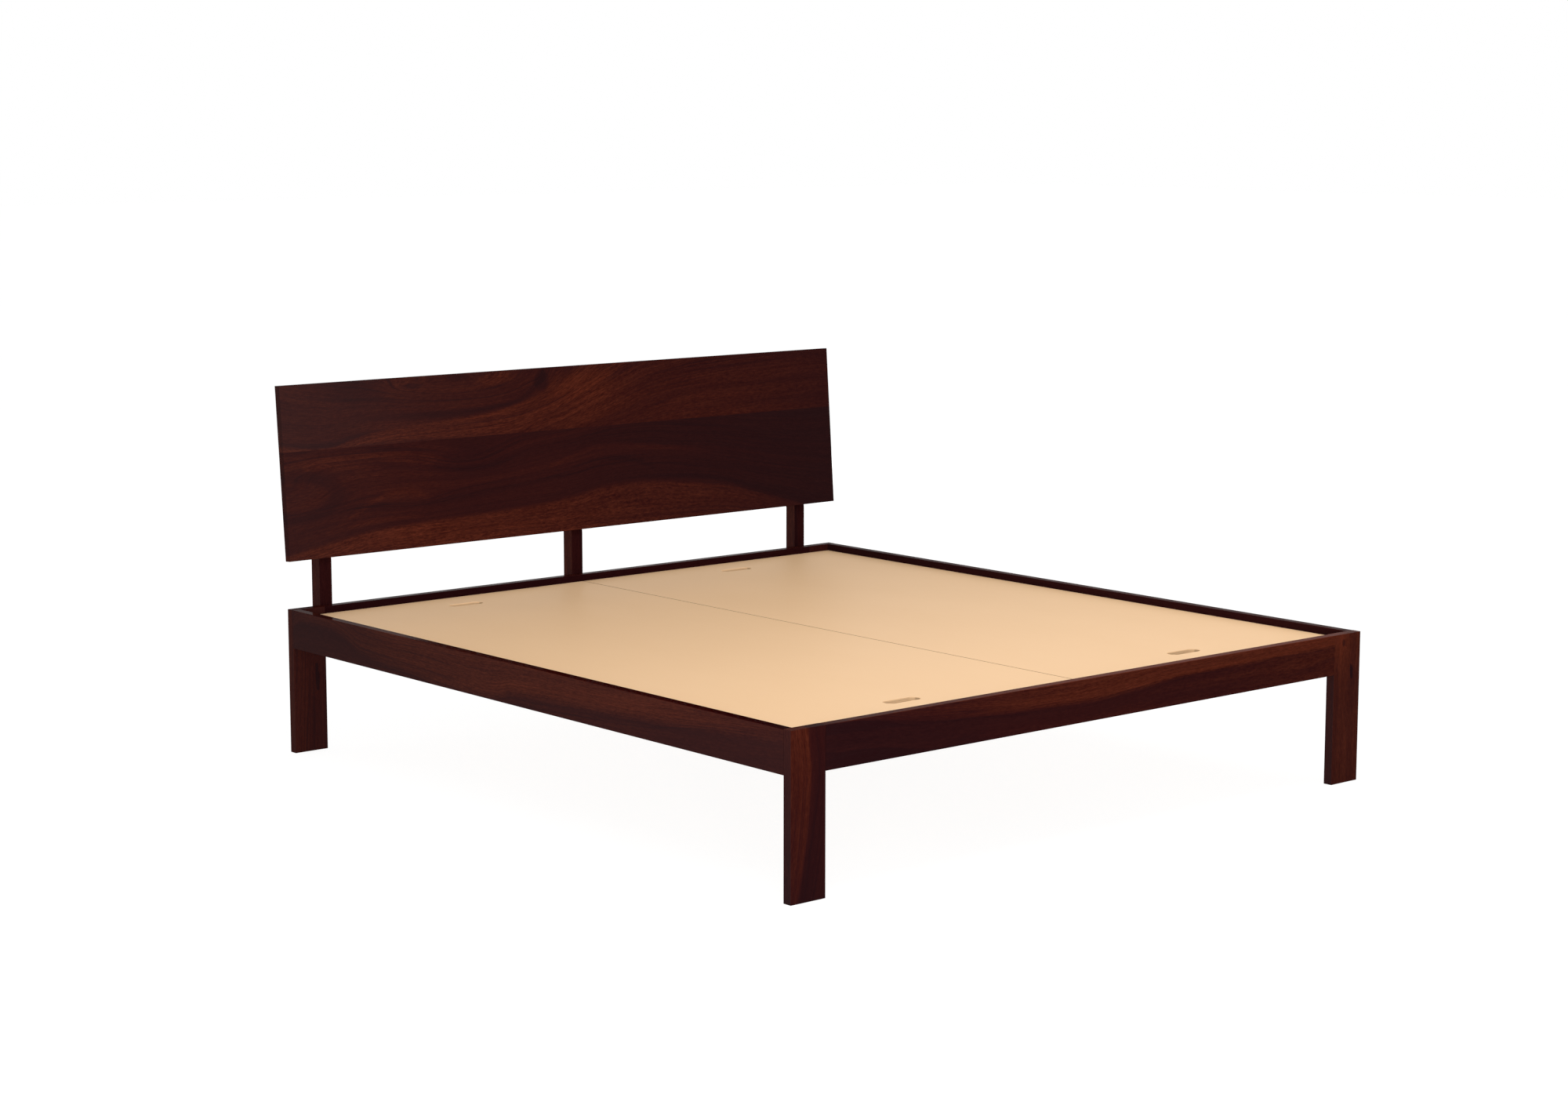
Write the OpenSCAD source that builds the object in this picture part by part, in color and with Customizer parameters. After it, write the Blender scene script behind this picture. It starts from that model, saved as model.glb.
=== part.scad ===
// Platform bed frame for a 1829 x 1981 mm mattress.
// Four plank legs and four deep rails carry a platform in two boards, which lift out by
// their hand holes. A leaning headboard of two boards stands on three kinked posts.
// Units are millimetres: X across the bed, +Y towards the head, Z up from the floor.
// The origin is on the floor, at the middle of the whole frame's footprint.

/* [Frame] */
// Width over the outer faces of the side rails
frame_w = 1905; // [1500:5:2050]
// Length over the outer faces of the corner legs
frame_l = 2050; // [1950:5:2250]
// Height of the legs and of the rails' top edge
rail_top = 385; // [330:5:450]
// Height of each rail from its lower to its upper edge
rail_h = 102; // [98:1:130]
// Thickness of the four rails
rail_t = 25; // [23:0.5:32]
// Radius of the eased long edges of rails, legs and headboard
edge_r = 1.5; // [0.5:0.25:3]

/* [Legs] */
// Width of each plank leg, measured across the bed
leg_w = 100; // [85:1:130]
// Thickness of each plank leg, measured along the bed
leg_t = 25; // [23:0.5:32]
// Length of the end rails' tenons
tenon_l = 35; // [20:1:45]
// Thickness of the end rails' tenons
tenon_t = 9; // [6:0.5:12]
// Height of the shoulder above and below each tenon
tenon_shoulder = 16; // [8:1:24]
// Gap between a tenon and its mortise
tenon_clear = 0.2; // [0.1:0.05:0.5]

/* [Rail hooks] */
// Width of the hook plates and catch plates
plate_w = 18; // [14:1:20]
// Height of the hook plates and catch plates
plate_h = 88; // [86:1:94]
// Thickness of the hook plates and catch plates
plate_t = 2.5; // [2:0.25:3]
// Radius of the plates' corners
plate_r = 3; // [1:0.5:5]
// Width of each hook across the plate
hook_w = 5; // [4:0.5:7]
// Height of the neck that passes through the catch plate
hook_neck = 9; // [7:0.5:10]
// Thickness of the tongue that hangs behind the catch plate
hook_tongue = 4; // [3:0.5:5]
// Depth that the tongue drops behind the catch plate
hook_drop = 9; // [6:0.5:10]
// Distance between the two hooks of one plate
hook_spacing = 36; // [32:1:38]
// Bevel that leads each hook into its catch plate
hook_bevel = 1.5; // [0.5:0.25:2]
// Gap between the hooks and the catch plates
hook_clear = 0.3; // [0.2:0.05:0.5]
// Distance from the plate's end to the centre of its screw
plate_screw_inset = 5.5; // [5:0.25:6]

/* [Platform] */
// Thickness of the platform boards
board_t = 12; // [9:1:18]
// Depth of the platform's surface below the rails' top edge
board_recess = 19; // [10:1:35]
// Gap between the boards and the rails round them
board_gap = 1.5; // [1:0.25:4]
// Gap between the two boards where they meet
seam_gap = 3; // [1:0.25:4]
// Distance of the seam to the right of the centre line
seam_shift = 1.5; // [-8:0.5:8]
// Height of the boards' underside above their supports
seat_gap = 0.3; // [0.2:0.05:0.5]
// Length of each hand hole, end to end
hand_hole_l = 103; // [90:1:130]
// Width of each hand hole
hand_hole_w = 35; // [24:1:42]
// Distance of each hand hole outwards from the middle of its side of the platform
hand_hole_shift = 11; // [-20:1:30]
// Distance of all the hand holes to the left of where that puts them
hand_hole_aside = 4.5; // [-8:0.5:8]
// Bevel round the rims of the hand holes
hand_hole_bevel = 1; // [0.5:0.25:3]
// Distance from the foot end of a board to its hand hole's centre
foot_hole_inset = 138; // [80:1:200]
// Distance from the head end of a board to its hand hole's centre
head_hole_inset = 115; // [80:1:200]

/* [Supports] */
// Width of the cleats under the platform's edge
cleat_w = 30; // [22:1:40]
// Height of the cleats
cleat_h = 38; // [34:1:44]
// Gap between a cleat's end and the piece that it runs up to
cleat_end_gap = 5; // [2:1:15]
// Width of the centre beam
beam_w = 40; // [36:1:60]
// Height of the centre beam
beam_h = 65; // [56:1:68]
// Gap between the centre beam's end and the end rail
beam_end_gap = 1; // [0.5:0.5:3]
// Width of the cross battens
batten_w = 45; // [35:1:70]
// Height of the cross battens
batten_h = 22; // [18:1:25]
// Distance between the cross battens
batten_spacing = 500; // [400:10:600]
// Distance of the battens' screws from the battens' centre lines
batten_screw_shift = 12; // [10:1:13]
// Gap between a batten and the sides of its notches
notch_clear = 0.3; // [0.2:0.05:0.8]
// Length of the centre leg's section across the bed
centre_leg_w = 66; // [62:1:90]
// Thickness of the centre leg along the bed
centre_leg_t = 45; // [40:1:60]
// Gap between the beam and the cheeks of the centre leg
cheek_clear = 0.3; // [0.2:0.05:0.6]
// Gap between the centre leg's cheeks and the batten above them
cheek_gap = 4; // [2:1:8]

/* [Beam hangers] */
// Thickness of the folded steel of the beam hangers
hanger_t = 2; // [1.5:0.25:3]
// Height of the hangers' side walls
hanger_h = 44; // [36:1:48]
// Length of the seat that carries the beam's end
hanger_seat = 40; // [30:1:60]
// Width of each flange against the end rail
hanger_flange = 24; // [18:1:30]
// Gap between the beam and the hanger's side walls
hanger_clear = 0.2; // [0.1:0.05:0.5]

/* [Headboard] */
// Distance that the headboard stands out past the side rails at each end
headboard_overhang = 1.5; // [-20:0.5:60]
// Height of the headboard, measured along its slope
headboard_h = 464; // [380:2:600]
// Thickness of the headboard
headboard_t = 22; // [20:0.5:30]
// Height of the upper of its two boards, along the slope
upper_board_h = 176; // [140:2:220]
// Gap from the rails' top edge up to the headboard
headboard_gap = 129; // [90:1:200]
// Angle at which the headboard leans back
headboard_lean = 4.4; // [1:0.1:9]
// Thickness of the tongue between the two boards
tongue_t = 7; // [5:0.5:9]
// Height of the tongue between the two boards
tongue_h = 9; // [6:0.5:12]
// Gap between the tongue and its groove
tongue_clear = 0.2; // [0.1:0.05:0.4]
// Distance from the headboard's ends to the ends of the tongue
tongue_stop = 40; // [20:1:80]

/* [Posts] */
// Width of the headboard posts
post_w = 38; // [32:1:50]
// Depth of the headboard posts
post_d = 38; // [34:1:50]
// Distance from the posts' kink up to the headboard's lower edge
post_kink_drop = 12; // [8:1:40]
// Distance from the posts' upper end up to the headboard's upper edge
post_top_drop = 60; // [50:1:90]
// Bevel on the back of the posts' upper ends
post_top_bevel = 6; // [2:0.5:12]
// Gap between the posts' leaning faces and the headboard
post_seat_gap = 0.05; // [0.03:0.01:0.2]

/* [Bolts] */
// Diameter of the bolts that hold the posts to the head rail
bolt_d = 8; // [6:1:10]
// Diameter of the bolts' round heads
bolt_head_d = 13; // [12:0.5:16]
// Height of the bolts' heads
bolt_head_h = 8; // [6:0.5:9]
// Width across the flats of the socket in a bolt's head
bolt_socket = 6; // [4:0.5:8]
// Depth of the socket in a bolt's head
bolt_socket_depth = 4; // [3:0.5:5]
// Distance of the bolts from the rail's upper and lower edge
bolt_inset = 25; // [20:1:32]
// Diameter of the washers under the bolts' heads
washer_d = 20; // [17:1:24]
// Thickness of the washers
washer_t = 1.6; // [1:0.2:2.4]
// Depth of the counterbores in the posts' backs
counterbore = 12; // [10:0.5:15]
// Diameter of the threaded inserts in the head rail
insert_d = 12; // [12:0.5:15]
// Length of the threaded inserts
insert_l = 18; // [14:1:20]
// Diameter of the bolts through the centre leg
cross_bolt_d = 6; // [5:1:8]
// Distance between the two bolts through the centre leg
cross_bolt_spacing = 20; // [16:1:22]
// Width across the flats of the cross bolts' heads and nuts
cross_bolt_flats = 10; // [9:0.5:13]
// Height of the cross bolts' heads and nuts
cross_bolt_head = 5; // [4:0.5:7]
// Gap round a bolt in its hole
bolt_clear = 0.3; // [0.2:0.05:0.6]

/* [Screws] */
// Shank diameter of the plate, hanger and cleat screws
screw_d = 4; // [3:0.25:4.5]
// Head diameter of the plate, hanger and cleat screws
screw_head_d = 7.5; // [7:0.25:8]
// Shank diameter of the headboard screws
panel_screw_d = 5; // [4:0.25:6]
// Head diameter of the headboard screws
panel_screw_head_d = 9.5; // [9:0.25:11]
// Gap round a screw in its hole
screw_clear = 0.15; // [0.1:0.05:0.25]
// Depth of a screw's head below the surface
screw_sink = 0.3; // [0.1:0.1:0.6]
// Width of the cross recess in a screw's head, as a share of the head's diameter
drive_share = 0.5; // [0.35:0.05:0.55]
// Thickness of the arms of the cross recess
drive_t = 1.1; // [0.8:0.1:1.3]
// Depth of the cross recess
drive_depth = 1.2; // [0.8:0.1:1.4]
// Length of screw that bites into a rail, leg or cleat
screw_bite = 12; // [10:1:14]
// Length of the screws in the rails' end grain
end_screw_l = 30; // [24:1:40]
// Length of headboard screw that bites into the headboard
panel_screw_bite = 15; // [12:1:17]
// Distance of the headboard screws from the boards' edges and the posts' tops
panel_screw_inset = 35; // [28:1:45]
// Height of the cleat screws above a cleat's underside
cleat_screw_h = 8; // [7:0.5:9]
// Distance from a cleat's end to its first screw
cleat_screw_inset = 40; // [30:1:80]

/* [Hidden] */
$fn = 48;

// Sides of the bed and ends of the bed
left = -1;
right = 1;
foot = -1;
head = 1;
// Margin by which a cut runs past the face that it opens
cut = 1;

// Heights
rail_z = [rail_top - rail_h, rail_top];
platform_z = [rail_top - board_recess - board_t, rail_top - board_recess];
support_top = platform_z[0] - seat_gap;
cleat_z = [support_top - cleat_h, support_top];
beam_z = [support_top - beam_h, support_top];
batten_z = [support_top - batten_h, support_top];
cheek_z = [beam_z[0], batten_z[0] - cheek_gap];
kink_z = rail_top + headboard_gap - headboard_t * sin(headboard_lean)
    - post_kink_drop * cos(headboard_lean);

// Plan, with the depth that the leaning posts add behind the head rail
post_slope_l = post_kink_drop + headboard_h - post_top_drop;
post_reach = (post_slope_l - post_top_bevel) * sin(headboard_lean) + post_d * cos(headboard_lean);
// Rounded to 0.1 mm, so that pieces that meet have exactly the same figures
foot_y = -round(5 * (frame_l + post_reach)) / 10;
head_y = foot_y + frame_l;
side_x = frame_w / 2;
well_x = side_x - rail_t;
shoulder_x = side_x - leg_w;
end_t = max(rail_t, leg_t);
well_y = [foot_y + end_t, head_y - end_t];
middle_y = (foot_y + head_y) / 2;
post_x = shoulder_x - post_w / 2;
hanger_x = beam_w / 2 + hanger_clear + hanger_t;
cleat_start_x = hanger_x + hanger_flange + cleat_end_gap;
cleat_stop_x = shoulder_x - cleat_end_gap;
headboard_w = frame_w + 2 * headboard_overhang;
lower_board_h = headboard_h - upper_board_h;

// Fasteners
bolt_z = [rail_z[0] + bolt_inset, rail_z[1] - bolt_inset];
bolt_shank = post_d - counterbore + washer_t + insert_l - 2;
panel_screw_l = post_d - counterbore + panel_screw_bite;
panel_screw_s = [panel_screw_inset, lower_board_h - panel_screw_inset,
    lower_board_h + panel_screw_inset, headboard_h - post_top_drop - panel_screw_inset];
cleat_screw_l = cleat_w + screw_bite;
batten_screw_l = batten_h + screw_bite;
cross_bolt_z = [for (i = [-1, 1]) (cheek_z[0] + cheek_z[1]) / 2 + i * cross_bolt_spacing / 2];

// Places that repeat
batten_y = [for (i = [-1, 0, 1]) middle_y + i * batten_spacing];
bay_y = [well_y[0], batten_y[0], batten_y[1], batten_y[2], well_y[1]];
side_cleat_y = [well_y[0] + cleat_end_gap, well_y[1] - cleat_end_gap];
side_cleat_screw_y = concat(side_cleat_y[0] + cleat_screw_inset,
    [for (i = [0:3]) (bay_y[i] + bay_y[i + 1]) / 2], side_cleat_y[1] - cleat_screw_inset);
end_cleat_screw_x = [cleat_start_x + cleat_screw_inset, (cleat_start_x + cleat_stop_x) / 2,
    cleat_stop_x - cleat_screw_inset];
posts_x = [-post_x, 0, post_x];

// Colours
mahogany = [0.25, 0.10, 0.07];
mahogany_red = [0.34, 0.13, 0.08];
board_beige = [0.93, 0.79, 0.60];
pine = [0.80, 0.66, 0.45];
zinc = [0.72, 0.73, 0.72];
dark_steel = [0.22, 0.22, 0.23];

// The pair a, b in rising order
function span(a, b) = [min(a, b), max(a, b)];

// Outer face of the bed at one end
function end_y(end) = end == head ? head_y : foot_y;

// Block over three spans
module block(x, y, z) {
    translate([x[0], y[0], z[0]]) cube([x[1] - x[0], y[1] - y[0], z[1] - z[0]]);
}

// Rectangle over two spans with its corners rounded
module rounded(a, b, r) {
    translate([a[0] + r, b[0]]) square([a[1] - a[0] - 2 * r, b[1] - b[0]]);
    translate([a[0], b[0] + r]) square([a[1] - a[0], b[1] - b[0] - 2 * r]);
    for (u = [a[0] + r, a[1] - r], v = [b[0] + r, b[1] - r]) translate([u, v]) circle(r);
}

// Timber with eased long edges, lying along X, lying along Y and standing
module timber_x(x, y, z) {
    translate([x[0], 0, 0]) rotate([90, 0, 90]) linear_extrude(x[1] - x[0])
        rounded(y, z, edge_r);
}

module timber_y(x, y, z) {
    translate([0, y[1], 0]) rotate([90, 0, 0]) linear_extrude(y[1] - y[0])
        rounded(x, z, edge_r);
}

module timber_z(x, y, z) {
    translate([0, 0, z[0]]) linear_extrude(z[1] - z[0]) rounded(x, y, edge_r);
}

// Countersunk screw that points down from the origin, and the hole that takes it
module screw(d, l, head_d) {
    arm = head_d * drive_share / 2;
    translate([0, 0, -screw_sink]) difference() {
        rotate_extrude() polygon([[0, 0], [head_d / 2, 0],
            [d / 2, -(head_d - d) / 2], [d / 2, -l + d], [0, -l]]);
        for (turn = [0, 90]) rotate([0, 0, turn])
            block([-arm, arm], [-drive_t / 2, drive_t / 2], [-drive_depth, cut]);
    }
}

module screw_hole(d, l, head_d) {
    rotate_extrude() polygon([[0, cut], [head_d / 2 + screw_clear, cut],
        [head_d / 2 + screw_clear, -screw_sink],
        [d / 2 + screw_clear, -screw_sink - (head_d - d) / 2],
        [d / 2 + screw_clear, -l - screw_sink - screw_clear],
        [0, -l - screw_sink - screw_clear]]);
}

// Plate that stands on the XZ plane, from y = 0 towards +Y
module plate(w, h, t) {
    translate([0, t, 0]) rotate([90, 0, 0]) linear_extrude(t)
        rounded([-w / 2, w / 2], [-h / 2, h / 2], plate_r);
}

// Puts children at the joint of a side rail with a leg, with +Y pointing into the leg
module at_hook(side, end) {
    translate([side * (side_x - rail_t / 2), end_y(end) - end * leg_t, (rail_z[0] + rail_z[1]) / 2])
        rotate([0, 0, end == head ? 0 : 180]) children();
}

// Puts children at the two screws of a plate, shank towards +Y or -Y
module at_plate_screws(direction) {
    for (i = [-1, 1]) translate([0, 0, i * (plate_h / 2 - plate_screw_inset)])
        rotate([90 * direction, 0, 0]) children();
}

// Puts children at the lower edge of each hook's neck
module at_hooks() {
    for (i = [-1, 1]) translate([0, 0, i * hook_spacing / 2 - hook_neck / 2]) children();
}

// Hook in profile: a neck along Y, and a tongue that hangs down behind the catch plate
module hook() {
    inner = plate_t + hook_clear;
    outer = inner + hook_tongue;
    translate([-hook_w / 2, 0, 0]) rotate([90, 0, 90]) linear_extrude(hook_w)
        polygon([[-plate_t, 0], [inner, 0], [inner, hook_bevel - hook_drop],
            [inner + hook_bevel, -hook_drop], [outer, -hook_drop],
            [outer, hook_neck - hook_bevel], [outer - hook_bevel, hook_neck],
            [-plate_t, hook_neck]]);
}

module hook_plate(side, end) {
    color(zinc) at_hook(side, end) difference() {
        union() {
            translate([0, -plate_t, 0]) plate(plate_w, plate_h, plate_t);
            at_hooks() hook();
        }
        at_plate_screws(foot) screw_hole(screw_d, end_screw_l, screw_head_d);
    }
}

module catch_plate(side, end) {
    color(zinc) at_hook(side, end) difference() {
        plate(plate_w, plate_h, plate_t);
        at_hooks() block([-hook_w / 2 - hook_clear, hook_w / 2 + hook_clear],
            [-cut, plate_t + cut], [0, hook_neck + hook_drop + hook_clear]);
        at_plate_screws(head) screw_hole(screw_d, plate_t + screw_bite, screw_head_d);
    }
}

// Seat in a leg for a catch plate, with the pockets that its hooks drop into
module catch_recess() {
    pocket_t = plate_t + hook_clear + hook_tongue + cut;
    translate([0, -cut, 0]) plate(plate_w, plate_h, plate_t + cut);
    at_hooks() block([-hook_w / 2 - cut, hook_w / 2 + cut], [0, pocket_t],
        [-hook_drop - cut, hook_neck + hook_drop + cut]);
    at_plate_screws(head) screw_hole(screw_d, plate_t + screw_bite, screw_head_d);
}

// Seat in a side rail's end for a hook plate
module hook_recess() {
    translate([0, -plate_t, 0]) plate(plate_w, plate_h, plate_t + cut);
    at_plate_screws(foot) screw_hole(screw_d, end_screw_l, screw_head_d);
}

// Tenon on an end rail, or the mortise that takes it when clear is above 0
module tenon(side, end, clear) {
    rail_y = end_y(end) - end * rail_t / 2;
    block(span(side * (shoulder_x - cut), side * (shoulder_x + tenon_l + clear)),
        [rail_y - tenon_t / 2 - clear, rail_y + tenon_t / 2 + clear],
        [rail_z[0] + tenon_shoulder - clear, rail_z[1] - tenon_shoulder + clear]);
}

module leg(side, end) {
    color(mahogany_red) difference() {
        timber_z(span(side * shoulder_x, side * side_x),
            span(end_y(end), end_y(end) - end * leg_t), [0, rail_top]);
        tenon(side, end, tenon_clear);
        at_hook(side, end) catch_recess();
    }
}

module end_rail(end) {
    timber_x([-shoulder_x, shoulder_x], span(end_y(end), end_y(end) - end * rail_t), rail_z);
    for (side = [left, right]) tenon(side, end, 0);
}

module side_rail(side) {
    color(mahogany) difference() {
        timber_y(span(side * well_x, side * side_x), [foot_y + leg_t, head_y - leg_t], rail_z);
        for (end = [foot, head]) at_hook(side, end) hook_recess();
        at_side_cleat_screws(side) cleat_screw_hole();
    }
}

module foot_rail() {
    color(mahogany) difference() {
        end_rail(foot);
        for (side = [left, right]) at_end_cleat_screws(side, foot) cleat_screw_hole();
        at_hanger_screws(foot) hanger_screw_hole();
    }
}

module head_rail() {
    color(mahogany) difference() {
        end_rail(head);
        for (side = [left, right]) at_end_cleat_screws(side, head) cleat_screw_hole();
        at_hanger_screws(head) hanger_screw_hole();
        at_post_bolts() rotate([90, 0, 0]) translate([0, 0, -cut])
            cylinder(d = insert_d + 2 * bolt_clear, h = insert_l + cut);
    }
}

// Puts children at the cleat screws' heads, with the shanks towards the rail
module at_side_cleat_screws(side) {
    for (y = side_cleat_screw_y)
        translate([side * (well_x - cleat_w), y, cleat_z[0] + cleat_screw_h])
            rotate([0, -90 * side, 0]) children();
}

module at_end_cleat_screws(side, end) {
    for (x = end_cleat_screw_x)
        translate([side * x, end_y(end) - end * (rail_t + cleat_w), cleat_z[0] + cleat_screw_h])
            rotate([90 * end, 0, 0]) children();
}

module cleat_screw_hole() {
    screw_hole(screw_d, cleat_screw_l, screw_head_d);
}

module side_cleat(side) {
    color(pine) difference() {
        block(span(side * well_x, side * (well_x - cleat_w)), side_cleat_y, cleat_z);
        for (y = batten_y) batten_notch(y);
        at_side_cleat_screws(side) cleat_screw_hole();
        at_batten_screws() batten_screw_hole();
    }
}

module end_cleat(side, end) {
    rail_y = end_y(end) - end * rail_t;
    color(pine) difference() {
        block(span(side * cleat_start_x, side * cleat_stop_x),
            span(rail_y, rail_y - end * cleat_w), cleat_z);
        at_end_cleat_screws(side, end) cleat_screw_hole();
    }
}

// Notch across a cleat or the centre beam for one cross batten
module batten_notch(y) {
    block([-side_x, side_x],
        [y - batten_w / 2 - notch_clear, y + batten_w / 2 + notch_clear],
        [batten_z[0], support_top + cut]);
}

// Puts children at the batten screws: one over each side cleat and one over the beam
module at_batten_screws() {
    for (x = [-well_x + cleat_w / 2, 0, well_x - cleat_w / 2], y = batten_y)
        translate([x, y + batten_screw_shift, support_top]) children();
}

module batten_screw_hole() {
    screw_hole(screw_d, batten_screw_l, screw_head_d);
}

module cross_batten(y) {
    color(pine) difference() {
        block([-well_x + notch_clear, well_x - notch_clear],
            [y - batten_w / 2, y + batten_w / 2], batten_z);
        at_batten_screws() batten_screw_hole();
    }
}

// Puts children at the two bolts across the centre leg, axis along X
module at_cross_bolts() {
    for (z = cross_bolt_z) translate([0, middle_y, z]) rotate([0, 90, 0]) children();
}

module cross_bolt_hole() {
    cylinder(d = cross_bolt_d + 2 * bolt_clear, h = centre_leg_w + 2 * cut, center = true);
}

module centre_beam() {
    color(pine) difference() {
        timber_y([-beam_w / 2, beam_w / 2],
            [foot_y + rail_t + beam_end_gap, head_y - rail_t - beam_end_gap], beam_z);
        for (y = batten_y) batten_notch(y);
        at_batten_screws() batten_screw_hole();
        at_cross_bolts() cross_bolt_hole();
    }
}

module centre_leg() {
    slot_x = beam_w / 2 + cheek_clear;
    leg_y = [middle_y - centre_leg_t / 2, middle_y + centre_leg_t / 2];
    color(pine) difference() {
        timber_z([-centre_leg_w / 2, centre_leg_w / 2], leg_y, [0, cheek_z[1]]);
        block([-slot_x, slot_x], [leg_y[0] - cut, leg_y[1] + cut],
            [cheek_z[0], cheek_z[1] + cut]);
        at_cross_bolts() cross_bolt_hole();
    }
}

// Puts children at a hanger's place on its end rail, with +Y pointing into the rail
module at_hanger(end) {
    translate([0, end_y(end) - end * rail_t, beam_z[0] - hanger_t])
        rotate([0, 0, end == head ? 0 : 180]) children();
}

// Puts children at the four screws of a hanger, with the shanks towards the rail
module at_hanger_screws(end) {
    at_hanger(end) for (i = [-1, 1], z = [hanger_h / 4, hanger_h * 3 / 4])
        translate([i * (hanger_x + hanger_flange / 2), -hanger_t, z])
            rotate([90, 0, 0]) children();
}

module hanger_screw_hole() {
    screw_hole(screw_d, hanger_t + screw_bite, screw_head_d);
}

// Stirrup folded round the beam's eased edges, with a flange each side
module beam_hanger(end) {
    inner_x = hanger_x - hanger_t;
    open_top = hanger_h + 2 * (edge_r + hanger_t);
    color(zinc) difference() {
        at_hanger(end) {
            rotate([90, 0, 0]) linear_extrude(hanger_seat) intersection() {
                translate([-hanger_x, 0]) square([2 * hanger_x, hanger_h]);
                difference() {
                    rounded([-hanger_x, hanger_x], [0, open_top], edge_r + hanger_t);
                    rounded([-inner_x, inner_x], [hanger_t, open_top + cut], edge_r);
                }
            }
            for (i = [-1, 1]) rotate([90, 0, 0]) linear_extrude(hanger_t)
                rounded(span(i * inner_x, i * (hanger_x + hanger_flange)), [0, hanger_h], plate_r);
        }
        at_hanger_screws(end) hanger_screw_hole();
    }
}

// Upright slot with round ends, which widens evenly from radius r0 at its foot to r1
module slot(length, h, r0, r1) {
    for (i = [-1, 1]) translate([i * length / 2, 0, 0]) cylinder(h = h, r1 = r0, r2 = r1);
    rotate([90, 0, 90]) linear_extrude(length, center = true)
        polygon([[-r0, 0], [r0, 0], [r1, h], [-r1, h]]);
}

// Hand hole through a platform board, with both of its rims bevelled
module hand_hole(x, y) {
    straight = hand_hole_l - hand_hole_w;
    r = hand_hole_w / 2;
    flare = hand_hole_bevel + cut;
    translate([x, y, 0]) {
        translate([0, 0, platform_z[0] - cut]) slot(straight, board_t + 2 * cut, r, r);
        translate([0, 0, platform_z[0] - cut]) slot(straight, flare, r + flare, r);
        translate([0, 0, platform_z[1] + cut - flare]) slot(straight, flare, r, r + flare);
    }
}

module platform_board(side) {
    board_y = [well_y[0] + board_gap, well_y[1] - board_gap];
    hole_x = side * (well_x / 2 + hand_hole_shift) - hand_hole_aside;
    color(board_beige) difference() {
        block(span(side * (well_x - board_gap), seam_shift + side * seam_gap / 2),
            board_y, platform_z);
        hand_hole(hole_x, board_y[0] + foot_hole_inset);
        hand_hole(hole_x, board_y[1] - head_hole_inset);
    }
}

// Puts children at the middle of the headboard's lower back edge: +Z runs up its slope
// and +Y points out of its back
module on_headboard() {
    translate([0, head_y, kink_z]) rotate([-headboard_lean, 0, 0])
        translate([0, 0, post_kink_drop]) children();
}

// Puts children as on_headboard() does, clear of the posts by their seat gap
module off_posts() {
    on_headboard() translate([0, -post_seat_gap, 0]) children();
}

// Slice of the headboard between two heights on its slope
module headboard_slice(s) {
    translate([-headboard_w / 2, 0, 0]) rotate([90, 0, 90]) linear_extrude(headboard_w)
        intersection() {
            rounded([-headboard_t, 0], [0, headboard_h], edge_r);
            translate([-headboard_t - cut, s[0]]) square([headboard_t + 2 * cut, s[1] - s[0]]);
        }
}

// Tongue of the lower board, or the groove that takes it when clear is above 0
module tongue(clear) {
    reach = headboard_w / 2 - tongue_stop + clear;
    block([-reach, reach],
        [-headboard_t / 2 - tongue_t / 2 - clear, -headboard_t / 2 + tongue_t / 2 + clear],
        [lower_board_h - cut, lower_board_h + tongue_h + clear]);
}

// Puts children at the headboard screws of one post, with the shanks towards the headboard
module at_headboard_screws(x) {
    on_headboard() for (s = panel_screw_s)
        translate([x, post_d - counterbore, s]) rotate([-90, 0, 0]) children();
}

module headboard_screw_hole() {
    screw_hole(panel_screw_d, panel_screw_l, panel_screw_head_d);
}

module headboard_lower_board() {
    color(mahogany) difference() {
        off_posts() {
            headboard_slice([0, lower_board_h]);
            tongue(0);
        }
        for (x = posts_x) at_headboard_screws(x) headboard_screw_hole();
    }
}

module headboard_upper_board() {
    color(mahogany_red) difference() {
        off_posts() difference() {
            headboard_slice([lower_board_h, headboard_h]);
            tongue(tongue_clear);
        }
        for (x = posts_x) at_headboard_screws(x) headboard_screw_hole();
    }
}

// Puts children where the bolts enter the head rail's back, axis along Y
module at_post_bolts(x = posts_x) {
    for (u = x, z = bolt_z) translate([u, head_y, z]) children();
}

// Post with a kink: upright behind the rail, then leaning with the headboard
module headboard_post(x) {
    up = [sin(headboard_lean), cos(headboard_lean)];
    out = [cos(headboard_lean), -sin(headboard_lean)];
    kink = [head_y, kink_z];
    top = kink + post_slope_l * up;
    color(mahogany) difference() {
        translate([x - post_w / 2, 0, 0]) rotate([90, 0, 90]) linear_extrude(post_w)
            polygon([[head_y, rail_z[0]], kink, top, top + (post_d - post_top_bevel) * out,
                top + post_d * out - post_top_bevel * up,
                [head_y + post_d, kink_z - post_d * tan(headboard_lean / 2)],
                [head_y + post_d, rail_z[0]]]);
        at_post_bolts([x]) rotate([-90, 0, 0]) {
            translate([0, 0, -cut]) cylinder(d = bolt_d + 2 * bolt_clear, h = post_d + 2 * cut);
            translate([0, 0, post_d - counterbore])
                cylinder(d = washer_d + 2 * bolt_clear, h = counterbore + cut);
        }
        at_headboard_screws(x) {
            headboard_screw_hole();
            cylinder(d = panel_screw_head_d + 2 * bolt_clear, h = counterbore + cut);
        }
    }
}

module hook_plate_screws() {
    color(zinc) for (side = [left, right], end = [foot, head])
        at_hook(side, end) at_plate_screws(foot) screw(screw_d, end_screw_l, screw_head_d);
}

module catch_plate_screws() {
    color(zinc) for (side = [left, right], end = [foot, head])
        at_hook(side, end) at_plate_screws(head)
            screw(screw_d, plate_t + screw_bite, screw_head_d);
}

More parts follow.
